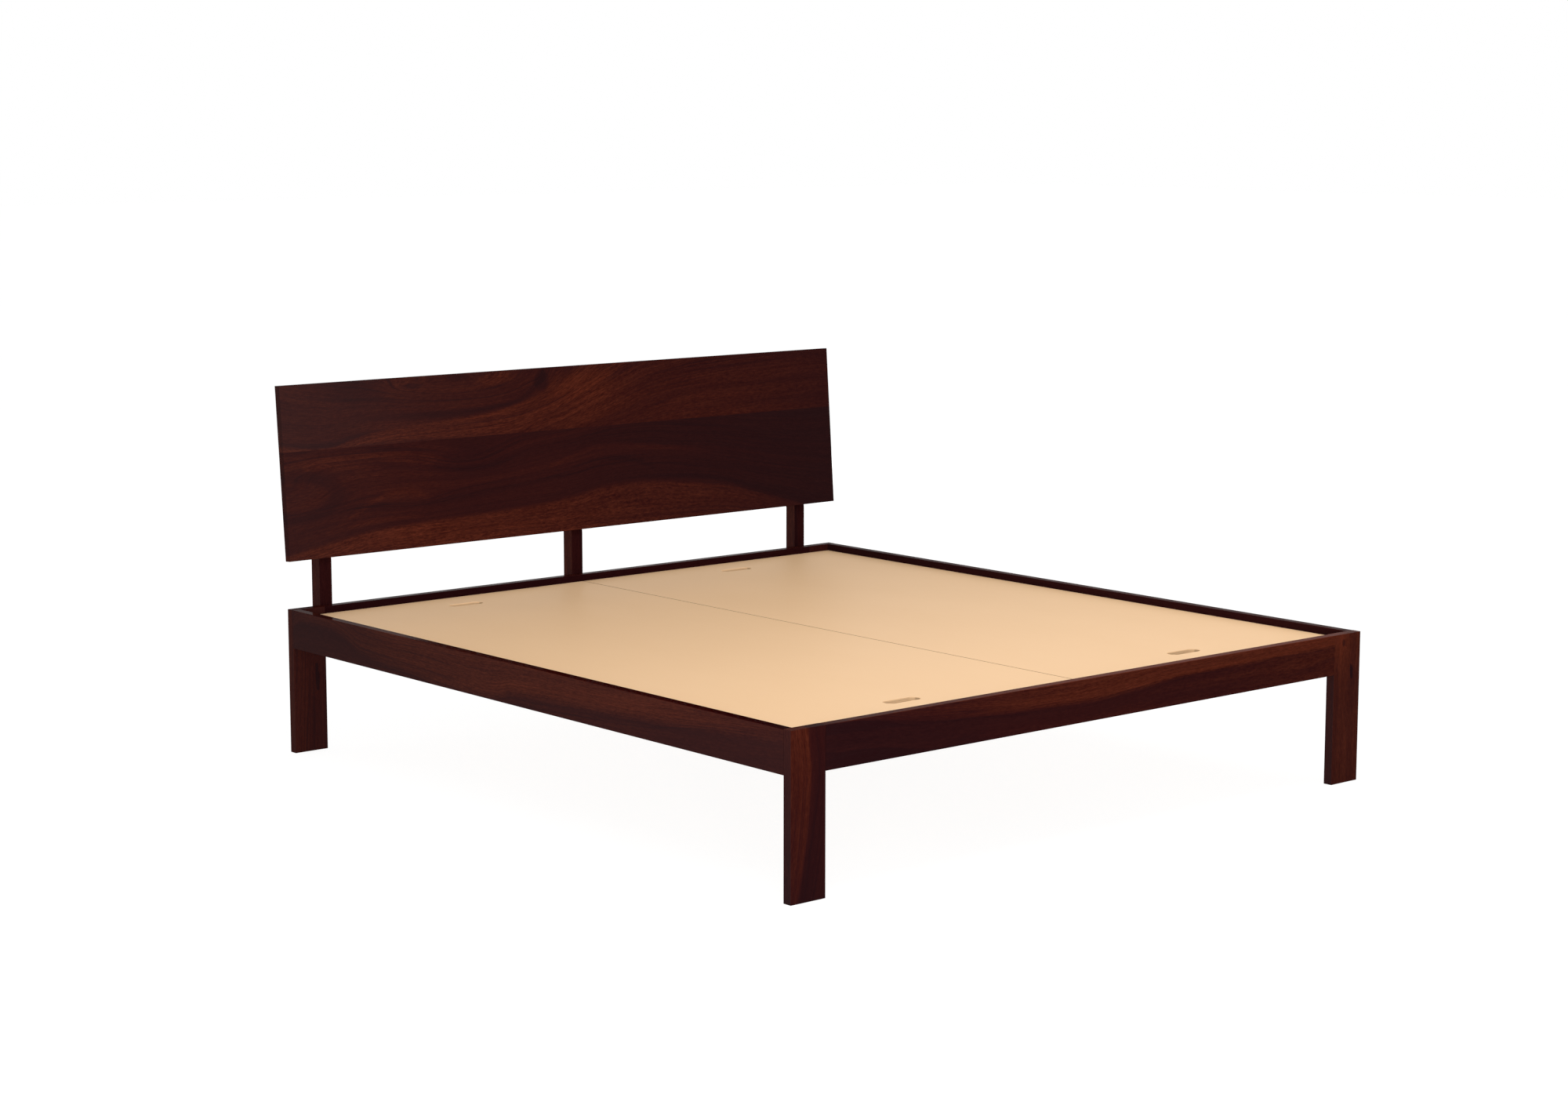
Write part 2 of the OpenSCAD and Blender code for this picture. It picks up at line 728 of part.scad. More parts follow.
module cleat_screws() {
    color(zinc) for (side = [left, right]) {
        at_side_cleat_screws(side) screw(screw_d, cleat_screw_l, screw_head_d);
        for (end = [foot, head])
            at_end_cleat_screws(side, end) screw(screw_d, cleat_screw_l, screw_head_d);
    }
}

module batten_screws() {
    color(zinc) at_batten_screws() screw(screw_d, batten_screw_l, screw_head_d);
}

module hanger_screws() {
    color(zinc) for (end = [foot, head])
        at_hanger_screws(end) screw(screw_d, hanger_t + screw_bite, screw_head_d);
}

module headboard_screws() {
    color(dark_steel) for (x = posts_x)
        at_headboard_screws(x) screw(panel_screw_d, panel_screw_l, panel_screw_head_d);
}

// Socket-head bolt whose head rests on its washer, with the shank in the rail's insert
module post_bolts() {
    head_seat = post_d - counterbore + washer_t;
    color(dark_steel) at_post_bolts() rotate([-90, 0, 0]) difference() {
        union() {
            translate([0, 0, head_seat - bolt_shank]) cylinder(d = bolt_d, h = bolt_shank + cut);
            translate([0, 0, head_seat]) cylinder(d = bolt_head_d, h = bolt_head_h);
        }
        translate([0, 0, head_seat + bolt_head_h - bolt_socket_depth])
            cylinder(d = bolt_socket / cos(30), h = bolt_socket_depth + cut, $fn = 6);
    }
}

module post_washers() {
    color(dark_steel) at_post_bolts() rotate([-90, 0, 0])
        translate([0, 0, post_d - counterbore]) difference() {
            cylinder(d = washer_d, h = washer_t);
            translate([0, 0, -cut]) cylinder(d = bolt_d + 2 * bolt_clear, h = washer_t + 2 * cut);
        }
}

module post_inserts() {
    color(zinc) at_post_bolts() rotate([90, 0, 0]) difference() {
        cylinder(d = insert_d, h = insert_l);
        translate([0, 0, -cut]) cylinder(d = bolt_d + screw_clear, h = insert_l + 2 * cut);
    }
}

module centre_leg_bolts() {
    color(zinc) at_cross_bolts() {
        translate([0, 0, -centre_leg_w / 2 - cross_bolt_head])
            cylinder(d = cross_bolt_flats / cos(30), h = cross_bolt_head, $fn = 6);
        translate([0, 0, -centre_leg_w / 2 - cut])
            cylinder(d = cross_bolt_d, h = centre_leg_w + 2 * cut + cross_bolt_head);
    }
}

module centre_leg_nuts() {
    color(zinc) at_cross_bolts() translate([0, 0, centre_leg_w / 2]) difference() {
        cylinder(d = cross_bolt_flats / cos(30), h = cross_bolt_head, $fn = 6);
        translate([0, 0, -cut])
            cylinder(d = cross_bolt_d + screw_clear, h = cross_bolt_head + 2 * cut);
    }
}

leg(left, foot);  // leg_foot_left
leg(right, foot);  // leg_foot_right
leg(left, head);  // leg_head_left
leg(right, head);  // leg_head_right
foot_rail();
head_rail();
side_rail(left);  // side_rail_left
side_rail(right);  // side_rail_right
side_cleat(left);  // side_cleat_left
side_cleat(right);  // side_cleat_right
end_cleat(left, foot);  // foot_cleat_left
end_cleat(right, foot);  // foot_cleat_right
end_cleat(left, head);  // head_cleat_left
end_cleat(right, head);  // head_cleat_right
centre_beam();
centre_leg();
cross_batten(batten_y[0]);  // cross_batten_foot
cross_batten(batten_y[1]);  // cross_batten_middle
cross_batten(batten_y[2]);  // cross_batten_head
beam_hanger(foot);  // beam_hanger_foot
beam_hanger(head);  // beam_hanger_head
platform_board(left);  // platform_board_left
platform_board(right);  // platform_board_right
headboard_lower_board();
headboard_upper_board();
headboard_post(posts_x[0]);  // headboard_post_left
headboard_post(posts_x[1]);  // headboard_post_middle
headboard_post(posts_x[2]);  // headboard_post_right
hook_plate(left, foot);  // hook_plate_foot_left
hook_plate(right, foot);  // hook_plate_foot_right
hook_plate(left, head);  // hook_plate_head_left
hook_plate(right, head);  // hook_plate_head_right
catch_plate(left, foot);  // catch_plate_foot_left
catch_plate(right, foot);  // catch_plate_foot_right
catch_plate(left, head);  // catch_plate_head_left
catch_plate(right, head);  // catch_plate_head_right
hook_plate_screws();
catch_plate_screws();
cleat_screws();
batten_screws();
hanger_screws();
headboard_screws();
post_bolts();
post_washers();
post_inserts();
centre_leg_bolts();
centre_leg_nuts();
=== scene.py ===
"""Low platform bed frame in dark red-brown timber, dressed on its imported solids.

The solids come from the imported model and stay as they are. This script gives every one of
them its finish, and sets the camera, the light and the floor.
"""
import logging
import math
from dataclasses import dataclass, field
from enum import Enum

import bpy
from mathutils import Matrix, Vector


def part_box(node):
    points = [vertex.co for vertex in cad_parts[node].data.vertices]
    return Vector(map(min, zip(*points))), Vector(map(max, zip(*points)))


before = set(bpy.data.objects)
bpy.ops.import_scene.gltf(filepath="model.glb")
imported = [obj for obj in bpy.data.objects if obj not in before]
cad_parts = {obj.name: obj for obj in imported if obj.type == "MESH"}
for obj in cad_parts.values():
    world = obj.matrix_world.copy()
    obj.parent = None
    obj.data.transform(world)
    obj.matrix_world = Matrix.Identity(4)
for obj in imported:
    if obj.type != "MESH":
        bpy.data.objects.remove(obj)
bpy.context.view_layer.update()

LOG = logging.getLogger("bed")

Triple = tuple[float, float, float]
Point = tuple[float, float]
Line = tuple[Point, ...]
Material = bpy.types.Material
Socket = bpy.types.NodeSocket
Value = Socket | float


def level(height: float) -> Line:
    """A line that has the same height all along."""
    return (0.0, height), (1.0, height)


def moved(line: Line, rise: float, share: float = 1.0) -> Line:
    """Takes a share of a line's heights and moves it up by a rise."""
    return tuple((u, v * share + rise) for u, v in line)


class Lie(Enum):
    """The way that a piece of timber lies: its grain, then the direction across its face."""

    ACROSS_THE_BED = ((1.0, 0.0, 0.0), (0.0, 0.0, 1.0))
    ALONG_THE_BED = ((0.0, -1.0, 0.0), (0.0, 0.0, 1.0))
    STANDING = ((0.0, 0.0, 1.0), (1.0, 0.0, 0.0))
    FLAT = ((0.0, 1.0, 0.0), (1.0, 0.0, 0.0))


@dataclass(frozen=True)
class Board:
    """The piece of timber that a grain is laid on.

    Attributes:
        corner: Where its length, width and depth are counted from.
        along: The direction of the grain.
        across: The direction across the face.
        width: Its width across the grain, in metres.
    """

    corner: Triple
    along: Triple
    across: Triple
    width: float

    @classmethod
    def of(cls, node: str, lie: Lie) -> "Board":
        """Lays a board over the box of a solid.

        Args:
            node: Name of the solid.
            lie: The way that its timber lies.

        Returns:
            The board, counted from the end where its grain starts.
        """
        low, high = (Vector(corner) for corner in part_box(node))
        along, across = lie.value
        start = [high[i] if along[i] < 0 else low[i] for i in range(3)]
        return cls(tuple(start), along, across, (high - low).dot(Vector(across)))

    @property
    def deep(self) -> Triple:
        """Direction into the board, square to its face."""
        return tuple(Vector(self.along).cross(Vector(self.across)))


class Bench:
    """The nodes of one finish while it is being made.

    Attributes:
        least: The least rise that a curve is given, so that a level one works too.
        along: Where a point is along the board, in metres.
        across: Where it is across the board.
        deep: Where it is into the board.
    """

    least = 1e-6

    def __init__(self, name: str, board: Board | None = None) -> None:
        """Starts a material that holds only its shader and output.

        Args:
            name: Name of the material.
            board: The board that it covers, if it has a grain.
        """
        self.material = bpy.data.materials.new(name)
        self.material.use_nodes = True
        self.tree = self.material.node_tree
        self.shader = self.tree.nodes["Principled BSDF"]
        self.places = self.node("TexCoord")
        if board:
            corner = Vector(board.corner)
            self.along, self.across, self.deep = (
                self.place(axis, corner.dot(Vector(axis))) for axis in (board.along, board.across, board.deep)
            )

    def node(self, kind: str) -> bpy.types.Node:
        """Adds a shader node of a kind."""
        return self.tree.nodes.new("ShaderNode" + kind)

    def feed(self, socket: Socket, value: Value | Triple) -> None:
        """Links a socket to another, or sets its value.

        Args:
            socket: The socket that takes the value.
            value: The other socket, or the value.
        """
        if isinstance(value, bpy.types.NodeSocket):
            self.tree.links.new(value, socket)
        else:
            socket.default_value = value

    def sum(self, operation: str, *values: Value, clamp: bool = False) -> Socket:
        """Works out one step of arithmetic.

        Args:
            operation: Blender's name of the operation.
            values: What it works on.
            clamp: Whether the result is kept between 0 and 1.

        Returns:
            The result.
        """
        step = self.node("Math")
        step.operation = operation
        step.use_clamp = clamp
        for socket, value in zip(step.inputs, values):
            self.feed(socket, value)
        return step.outputs[0]

    def total(self, *values: Value) -> Socket:
        """Adds up several values.

        Args:
            values: What is added up.

        Returns:
            Their sum.
        """
        result = values[0]
        for value in values[1:]:
            result = self.sum("ADD", result, value)
        return result

    def times(self, value: Value, factor: Value) -> Socket:
        """Multiplies a value by a factor."""
        return self.sum("MULTIPLY", value, factor)

    def scaled(self, value: Value, factor: Value, start: Value) -> Socket:
        """Multiplies a value by a factor and adds it to a start."""
        return self.sum("MULTIPLY_ADD", value, factor, start)

    def size(self, value: Socket) -> Socket:
        """Takes a value without its sign."""
        return self.sum("ABSOLUTE", value)

    def rest(self, share: Socket) -> Socket:
        """Takes what a share leaves of 1."""
        return self.sum("SUBTRACT", 1.0, share)

    def place(self, axis: Triple, start: float) -> Socket:
        """Measures the place of a point on the object along a direction.

        Args:
            axis: The direction.
            start: Where the measure starts along it.

        Returns:
            The place in metres.
        """
        measure = self.node("VectorMath")
        measure.operation = "DOT_PRODUCT"
        self.feed(measure.inputs[0], self.places.outputs["Object"])
        self.feed(measure.inputs[1], axis)
        return self.sum("SUBTRACT", measure.outputs["Value"], start)

    def noise(self, at: Socket, detail: float = 2.0, rough: float = 0.5) -> Socket:
        """Reads a smooth random field that varies about 0.

        Args:
            at: Where it is read.
            detail: How many finer layers it has.
            rough: How strong the finer layers are.

        Returns:
            A value between about -1 and 1.
        """
        clouds = self.node("TexNoise")
        self.feed(clouds.inputs["Vector"], at)
        self.feed(clouds.inputs["Scale"], 1.0)
        self.feed(clouds.inputs["Detail"], detail)
        self.feed(clouds.inputs["Roughness"], rough)
        return self.scaled(clouds.outputs["Fac"], 2.0, -1.0)

    def field(
        self,
        scale: Triple,
        start: Triple,
        detail: float = 2.0,
        rough: float = 0.5,
        across: Socket | None = None,
    ) -> Socket:
        """Reads a smooth random field over the board.

        Args:
            scale: How often it changes along, across and into the board, per metre.
            start: Where in the field the board's corner lies.
            detail: How many finer layers it has.
            rough: How strong the finer layers are.
            across: What counts as the place across the board, if not that itself.

        Returns:
            A value between about -1 and 1.
        """
        at = self.node("CombineXYZ")
        places = (self.along, self.across if across is None else across, self.deep)
        for socket, place, factor, first in zip(at.inputs, places, scale, start):
            self.feed(socket, self.scaled(place, factor, first))
        return self.noise(at.outputs[0], detail, rough)

    def curve(self, x: Socket, points: Line) -> Socket:
        """Follows a smooth line through points.

        Args:
            x: Place along the line.
            points: The points, by rising place.

        Returns:
            The height of the line there.
        """
        start, end = points[0][0], points[-1][0]
        low = min(y for _, y in points)
        rise = max(max(y for _, y in points) - low, self.least)
        line = self.node("FloatCurve")
        knots = line.mapping.curves[0].points
        for _ in points[2:]:
            knots.new(0.5, 0.5)
        for knot, (u, v) in zip(knots, points):
            knot.location = ((u - start) / (end - start), (v - low) / rise)
            knot.handle_type = "AUTO"
        line.mapping.update()
        share = self.sum("DIVIDE", self.sum("SUBTRACT", x, start), end - start, clamp=True)
        self.feed(line.inputs["Value"], share)
        return self.scaled(line.outputs[0], rise, low)

    def step(self, x: Socket, low: float, high: float) -> Socket:
        """Rises smoothly from 0 at low to 1 at high.

        Args:
            x: The value that is looked at.
            low: Where the rise starts.
            high: Where it ends.

        Returns:
            A value from 0 to 1.
        """
        ease = self.node("MapRange")
        ease.interpolation_type = "SMOOTHSTEP"
        for name, value in (("Value", x), ("From Min", low), ("From Max", high)):
            self.feed(ease.inputs[name], value)
        return ease.outputs["Result"]

    def ramp(self, tone: Socket, colours: tuple[Triple, ...]) -> Socket:
        """Turns a tone from 0 to 1 into a colour.

        Args:
            tone: The tone.
            colours: The colours, evenly spaced from the darkest.

        Returns:
            The colour.
        """
        blend = self.node("ValToRGB")
        stops = blend.color_ramp.elements
        for i in range(1, len(colours) - 1):
            stops.new(i / (len(colours) - 1))
        for stop, colour in zip(stops, colours):
            stop.color = (*colour, 1.0)
        self.feed(blend.inputs["Fac"], tone)
        return blend.outputs["Color"]

    def tint(self, colour: Socket, operation: str, amount: Socket) -> Socket:
        """Works on the three parts of a colour at once.

        Args:
            colour: The colour.
            operation: SCALE multiplies them by the amount, and ADD adds it to them.
            amount: The amount.

        Returns:
            The colour that results.
        """
        work = self.node("VectorMath")
        work.operation = operation
        self.feed(work.inputs[0], colour)
        self.feed(work.inputs["Scale" if operation == "SCALE" else 1], amount)
        return work.outputs[0]

    def relief(self, height: Socket, depth: float) -> None:
        """Raises the surface by a height.

        Args:
            height: The height, from 0 to 1.
            depth: Its full height in metres.
        """
        bump = self.node("Bump")
        self.feed(bump.inputs["Height"], height)
        self.feed(bump.inputs["Strength"], 1.0)
        self.feed(bump.inputs["Distance"], depth)
        self.feed(self.shader.inputs["Normal"], bump.outputs["Normal"])

    def finish(self, colour: Socket, rough: Value, gloss: float, metal: float = 0.0) -> Material:
        """Sets the shader.

        Args:
            colour: Colour of the surface.
            rough: Roughness of the surface.
            gloss: Strength of its reflection, as the shader's specular level.
            metal: 1 on a metal.

        Returns:
            The finished material.
        """
        self.feed(self.shader.inputs["Base Color"], colour)
        self.feed(self.shader.inputs["Roughness"], rough)
        self.shader.inputs["Specular IOR Level"].default_value = gloss
        self.shader.inputs["Metallic"].default_value = metal
        return self.material


@dataclass(frozen=True)
class Band:
    """A band of lighter or darker wood that runs along a board.

    Attributes:
        middle: Height of its middle above the board's edge, at places along it, in metres.
        half: Half its width at those places.
        tone: How much lighter it is at those places, or darker below 0.
        soft: Share of its half width over which it fades out.
    """

    middle: Line
    half: Line
    tone: Line
    soft: float = 0.9

    def shade(self, b: Bench, thin: Socket) -> Socket:
        """Works out the tone that it adds.

        Args:
            b: The bench that the finish is made on.
            thin: The board's fine lines, which fray its edges.

        Returns:
            The tone that it adds.
        """
        offset = b.sum("SUBTRACT", b.across, b.curve(b.along, self.middle))
        frayed = b.scaled(thin, 0.006, offset)
        share = b.sum("DIVIDE", b.size(frayed), b.curve(b.along, self.half))
        inside = b.rest(b.step(share, 1.0 - self.soft, 1.0 + self.soft))
        return b.times(inside, b.curve(b.along, self.tone))


@dataclass(frozen=True)
class Eye:
    """A place that the grain runs round.

    Attributes:
        at: Where it is along and across the board, in metres.
        reach: How far it bends the grain along and across the board.
        bend: How far the grain is pushed aside.
        core: Tone added inside it.
        ring: Tone added round it.
    """

    at: Point
    reach: Point
    bend: float
    core: float = 0.0
    ring: float = 0.0

    def swirl(self, b: Bench) -> Socket:
        """Measures how near a point is to it.

        Args:
            b: The bench that the finish is made on.

        Returns:
            1 at its middle, falling to 0 around it.
        """
        u, v = (
            b.sum("DIVIDE", b.sum("SUBTRACT", place, middle), reach)
            for place, middle, reach in zip((b.along, b.across), self.at, self.reach)
        )
        distance = b.scaled(u, u, b.times(v, v))
        return b.sum("EXPONENT", b.times(distance, -1.0))

    def shade(self, b: Bench, swirl: Socket) -> Socket:
        """Works out the tone that it adds.

        Args:
            b: The bench that the finish is made on.
            swirl: How near a point is to it.

        Returns:
            The tone that it adds.
        """
        core = b.step(swirl, 0.45, 0.75)
        ring = b.rest(b.step(b.size(b.sum("SUBTRACT", swirl, 0.33)), 0.05, 0.25))
        return b.scaled(core, self.core, b.times(ring, self.ring))


@dataclass(frozen=True)
class Figure:
    """What is particular to the grain of one board, with the painted light and shade laid on it.

    Attributes:
        seed: Number that sets its random lines apart from those of other boards.
        flow: Height that the grain rises to, at places along the board, in metres.
        fade: Distance from the flow over which the grain turns straight again.
        tone: Its tone at places along the board.
        front: Tone added to the face that its depth is counted from; on the rails it is painted shade on
            their inner faces.
        side: Tone added to the edge that its width is counted from, painted light and shade on that face:
            lighter on the posts, mostly darker on the legs.
        far: Tone added to the opposite edge, at places along it; on the rails that edge is the top strip,
            where the tone is painted sheen and painted reflection.
        veil: Grey that lies over it at places along the board, a painted sheen for the lacquer's reflection.
        side_veil: Grey added to the edge that its width is counted from, a painted sheen there.
        far_veil: Grey added to the opposite edge, a painted sheen there.
        far_rough: Roughness added to that edge.
        polish: Strength of its reflection, where 1 is that of the lacquer.
        lively: Contrast of its fine grain, where 1 is that of the timber.
        bands: Its lighter and darker bands.
        eyes: The places that its grain runs round.
    """

    seed: float
    flow: Line = level(0.0)
    fade: float = 1.0
    tone: Line = level(0.3)
    front: float = 0.0
    side: float = 0.0
    far: Line = level(0.0)
    veil: Line = level(0.0)
    side_veil: float = 0.0
    far_veil: float = 0.0
    far_rough: float = 0.0
    polish: float = 1.0
    lively: float = 1.0
    bands: tuple[Band, ...] = ()
    eyes: tuple[Eye, ...] = ()


@dataclass(frozen=True)
class Marks:
    """One kind of the marks that make up a grain.

    Attributes:
        along: How often they change along the board, per metre.
        across: How often they change across and into it.
        shift: Number that sets them apart from the other kinds.
        detail: How many finer layers they have.
        rough: How strong the finer layers are.
    """

    along: float
    across: float
    shift: float
    detail: float = 2.0
    rough: float = 0.5

    def draw(self, b: Bench, seed: float, grain: Socket) -> Socket:
        """Draws them over a board.

        Args:
            b: The bench that the finish is made on.
            seed: Number that sets the board apart from others.
            grain: The line of grain that a point lies on.

        Returns:
            A value between about -1 and 1.
        """
        start = (seed * 3.7 + self.shift, seed * 1.9 - self.shift, self.shift)
        return b.field((self.along, self.across, self.across), start, self.detail, self.rough, grain)


@dataclass(frozen=True)
class StainedTimber:
    """Timber under a dark red-brown stain and a satin lacquer.

    Attributes:
        colours: Its colours from the darkest to the lightest grain.
        coarse: Contrast of the broad growth bands.
        vein: Depth of the thin dark veins.
        fine: Contrast of the fine lines.
        fleck: Contrast of the short fibres.
        waver: Distance by which the grain wavers, in metres.
        rough: Roughness of the lacquer.
        gloss: Strength of its reflection.
        quiet: Share of the fine contrast that the darkest wood keeps.
        painted_fibre_sheen: Grey that the fine grain adds, a painted sheen on its fibres.
        pore: How far the pores darken the wood, and how much rougher they are.
        depth: Height of the fibres' relief, in metres.
        skin: Depth of the dressed faces, in metres, from full to none.
        rim: Distance from the far edge where that edge's own tone starts and where it is full, in metres.
        growth: Its broad growth bands.
        lines: Its fine growth lines.
        fibres: Its short fibres.
        creases: The marks whose middle lines are its veins.
        patches: The places where it has veins.
        pores: Its open pores.
    """

    colours: tuple[Triple, ...] = (
        (0.0155, 0.0044, 0.0051),
        (0.026, 0.0056, 0.0053),
        (0.042, 0.0085, 0.0055),
        (0.064, 0.0128, 0.0065),
        (0.092, 0.0172, 0.0083),
    )
    coarse: float = 0.2
    vein: float = 0.22
    fine: float = 0.42
    fleck: float = 0.62
    waver: float = 0.03
    rough: float = 0.24
    gloss: float = 0.0022
    quiet: float = 0.32
    painted_fibre_sheen: float = 0.006
    pore: Point = (0.25, 0.12)
    depth: float = 0.0001
    skin: Point = (0.0001, 0.0005)
    rim: Point = (0.0015, 0.0003)
    growth: Marks = Marks(0.9, 26.0, 3.1, rough=0.55)
    lines: Marks = Marks(4.0, 230.0, 7.7, 3.0, 0.75)
    fibres: Marks = Marks(65.0, 420.0, 11.3, rough=0.75)
    creases: Marks = Marks(0.9, 46.0, 5.3)
    patches: Marks = Marks(1.1, 9.0, 13.9, 1.0)
    pores: Marks = Marks(40.0, 1500.0, 17.9, 1.0)

    def make(self, name: str, board: Board, figure: Figure) -> Material:
        """Makes the finish of one board.

        Args:
            name: Name of the material.
            board: The board that it covers.
            figure: What is particular to its grain.

        Returns:
            The material.
        """
        b = Bench(name, board)
        swirls = [eye.swirl(b) for eye in figure.eyes]
        fibres = self.grain(b, figure)
        rings = b.total(fibres, *(b.times(swirl, eye.bend) for swirl, eye in zip(swirls, figure.eyes)))
        broad = self.growth.draw(b, figure.seed, rings)
        thin = self.lines.draw(b, figure.seed, rings)
        fibre = self.fibres.draw(b, figure.seed, fibres)
        vein = b.rest(b.step(b.size(self.creases.draw(b, figure.seed, rings)), 0.0, 0.08))
        patch = b.step(self.patches.draw(b, figure.seed, rings), -0.15, 0.35)
        pores = b.step(self.pores.draw(b, figure.seed, fibres), 0.3, 0.5)
        far = b.step(b.across, *(board.width - inset for inset in self.rim))
        body = b.total(
            b.curve(b.along, figure.tone),
            b.times(broad, self.coarse),
            b.times(b.times(vein, patch), -self.vein),
            # Painted shade on the face that the depth is counted from
            b.times(self.at_start(b, b.deep), figure.front),
            # Painted light and shade on the edge that the width is counted from
            b.times(self.at_start(b, b.across), figure.side),
            # Painted sheen and painted reflection on the far edge, the rails' top strip
            b.times(far, b.curve(b.along, figure.far)),
            *(band.shade(b, thin) for band in figure.bands),
            *(eye.shade(b, swirl) for swirl, eye in zip(swirls, figure.eyes)),
        )
        awake, asleep = (1.0 - self.quiet) * figure.lively, self.quiet * figure.lively
        lively = b.scaled(b.step(body, 0.15, 0.6), awake, asleep)
        fleck = b.times(lively, b.scaled(thin, self.fine, b.times(fibre, self.fleck)))
        stain = b.ramp(b.sum("ADD", body, fleck), self.colours)
        pored = b.tint(stain, "SCALE", b.scaled(pores, -self.pore[0], 1.0))
        # Painted sheen: grey that stands in for the lacquer's reflection, along the board, on the fine grain
        # and on both edges
        grey = b.total(
            b.curve(b.along, figure.veil),
            b.times(fleck, self.painted_fibre_sheen),
            b.times(self.at_start(b, b.across), figure.side_veil),
            b.times(far, figure.far_veil),
        )
        colour = b.tint(pored, "ADD", grey)
        b.relief(b.scaled(fibre, 0.3, b.sum("SUBTRACT", 0.6, b.times(pores, 0.5))), self.depth)
        rough = b.total(
            b.scaled(pores, self.pore[1], self.rough),
            b.times(thin, 0.03),
            b.times(far, figure.far_rough),
        )
        return b.finish(colour, rough, self.gloss * figure.polish)

    def at_start(self, b: Bench, place: Socket) -> Socket:
        """Marks the face where a place is counted from, and nothing half a millimetre away from it."""
        return b.rest(b.step(b.size(place), *self.skin))

    def grain(self, b: Bench, figure: Figure) -> Socket:
        """Bends the straight grain to the board's figure.

        Args:
            b: The bench that the finish is made on.
            figure: What is particular to the board's grain.

        Returns:
            The line of grain that a point lies on, as its height on the straight board.
        """
        drift = b.field((1.3, 5.0, 5.0), (figure.seed, figure.seed * 0.3, 0.0))
        flow = b.curve(b.along, figure.flow)
        gone = b.sum("DIVIDE", b.size(b.sum("SUBTRACT", b.across, flow)), figure.fade, clamp=True)
        bent = b.times(flow, b.sum("SUBTRACT", gone, 1.0))
        return b.total(b.across, bent, b.times(drift, self.waver))


@dataclass(frozen=True)
class PalePine:
    """Planed softwood without a finish, for the supports that don't show.

    Attributes:
        colours: Its colours from the late wood of a ring to the early wood.
        rings: Growth rings per metre.
        rough: Its roughness.
        gloss: Strength of its reflection.
        depth: Height of the relief of its rings, in metres.
    """

    colours: tuple[Triple, ...] = (
        (0.4, 0.22, 0.095),
        (0.56, 0.36, 0.17),
        (0.68, 0.48, 0.26),
        (0.74, 0.56, 0.33),
    )
    rings: float = 260.0
    rough: float = 0.62
    gloss: float = 0.3
    depth: float = 0.00015

    def make(self, name: str, board: Board, seed: float) -> Material:
        """Makes the finish of one piece.

        Args:
            name: Name of the material.
            board: The piece that it covers.
            seed: Number that sets its grain apart from that of other pieces.

        Returns:
            The material.
        """
        b = Bench(name, board)
        sway = b.field((1.6, 4.0, 0.0), (seed, 0.0, seed))
        # Growth rings round a pith that lies outside the piece
        side = b.total(b.across, 0.06 + 0.01 * seed, b.times(sway, 0.012))
        down = b.total(b.deep, 0.03, b.times(sway, 0.008))
        radius = b.sum("SQRT", b.scaled(side, side, b.times(down, down)))
        ring = b.sum("FRACT", b.times(radius, self.rings))
        late = b.times(b.step(ring, 0.35, 0.92), b.rest(b.step(ring, 0.94, 1.0)))
        fibre = b.field((9.0, 500.0, 500.0), (seed, 0.0, 0.0))
        tone = b.total(0.78, b.times(late, -0.42), b.times(fibre, 0.12), b.times(sway, 0.12))
        b.relief(b.scaled(late, 0.5, b.times(fibre, 0.3)), self.depth)
        return b.finish(b.ramp(tone, self.colours), self.rough, self.gloss)


@dataclass(frozen=True)
class SandedBoard:
    """Smooth pale board with the layers of its make-up on its edges, which are also darkened by painted
    shade, most on its long sides at the seam.

    Attributes:
        colours: Its colours from the darkest to the lightest.
        middle: Its middle tone.
        layer: Thickness of one of its layers, in metres.
        rough: Its roughness.
        gloss: Strength of its reflection.
        depth: Height of the relief of its fibres, in metres.
    """

    colours: tuple[Triple, ...] = ((0.765, 0.485, 0.253), (0.832, 0.543, 0.306), (0.872, 0.582, 0.34))
    middle: float = 0.62
    layer: float = 0.0024
    rough: float = 0.5
    gloss: float = 0.05
    depth: float = 0.00006

    def make(self, name: str, board: Board, seed: float, pale: float) -> Material:
        """Makes the finish of one platform board.

        Args:
            name: Name of the material.
            board: The board that it covers.
            seed: Number that sets its fibres apart from those of the other board.
            pale: How much paler it is than its middle tone.

        Returns:
            The material.
        """
        b = Bench(name, board)
        cloud = b.field((2.0, 5.0, 0.0), (seed, seed, seed), 3.0)
        grain = b.field((6.0, 260.0, 260.0), (seed, 0.0, 0.0))
        speck = b.field((420.0, 420.0, 420.0), (0.0, 0.0, 0.0), 1.0)
        tone = b.total(self.middle + pale, b.times(cloud, 0.16), b.times(grain, 0.1), b.times(speck, 0.1))
        facing = b.node("SeparateXYZ")
        b.feed(facing.inputs[0], b.places.outputs["Normal"])
        # Painted shade darkens every edge, most the long sides that face the seam; the layer stripes are the
        # board's own.
        edge = b.rest(b.step(b.size(facing.outputs["Z"]), 0.2, 0.6))
        painted_shade_long_edge = b.step(b.size(facing.outputs["X"]), 0.8, 0.95)
        layers = b.sum("PINGPONG", b.size(b.deep), self.layer)
        stripe = b.step(layers, self.layer * 0.35, self.layer * 0.65)
        layer_stripes_and_painted_shade = b.total(b.scaled(stripe, 0.16, 0.08), b.times(painted_shade_long_edge, 0.3))
        colour = b.tint(b.ramp(tone, self.colours), "SCALE", b.rest(b.times(edge, layer_stripes_and_painted_shade)))
        b.relief(b.scaled(speck, 0.4, b.times(grain, 0.3)), self.depth)
        return b.finish(colour, self.rough, self.gloss)


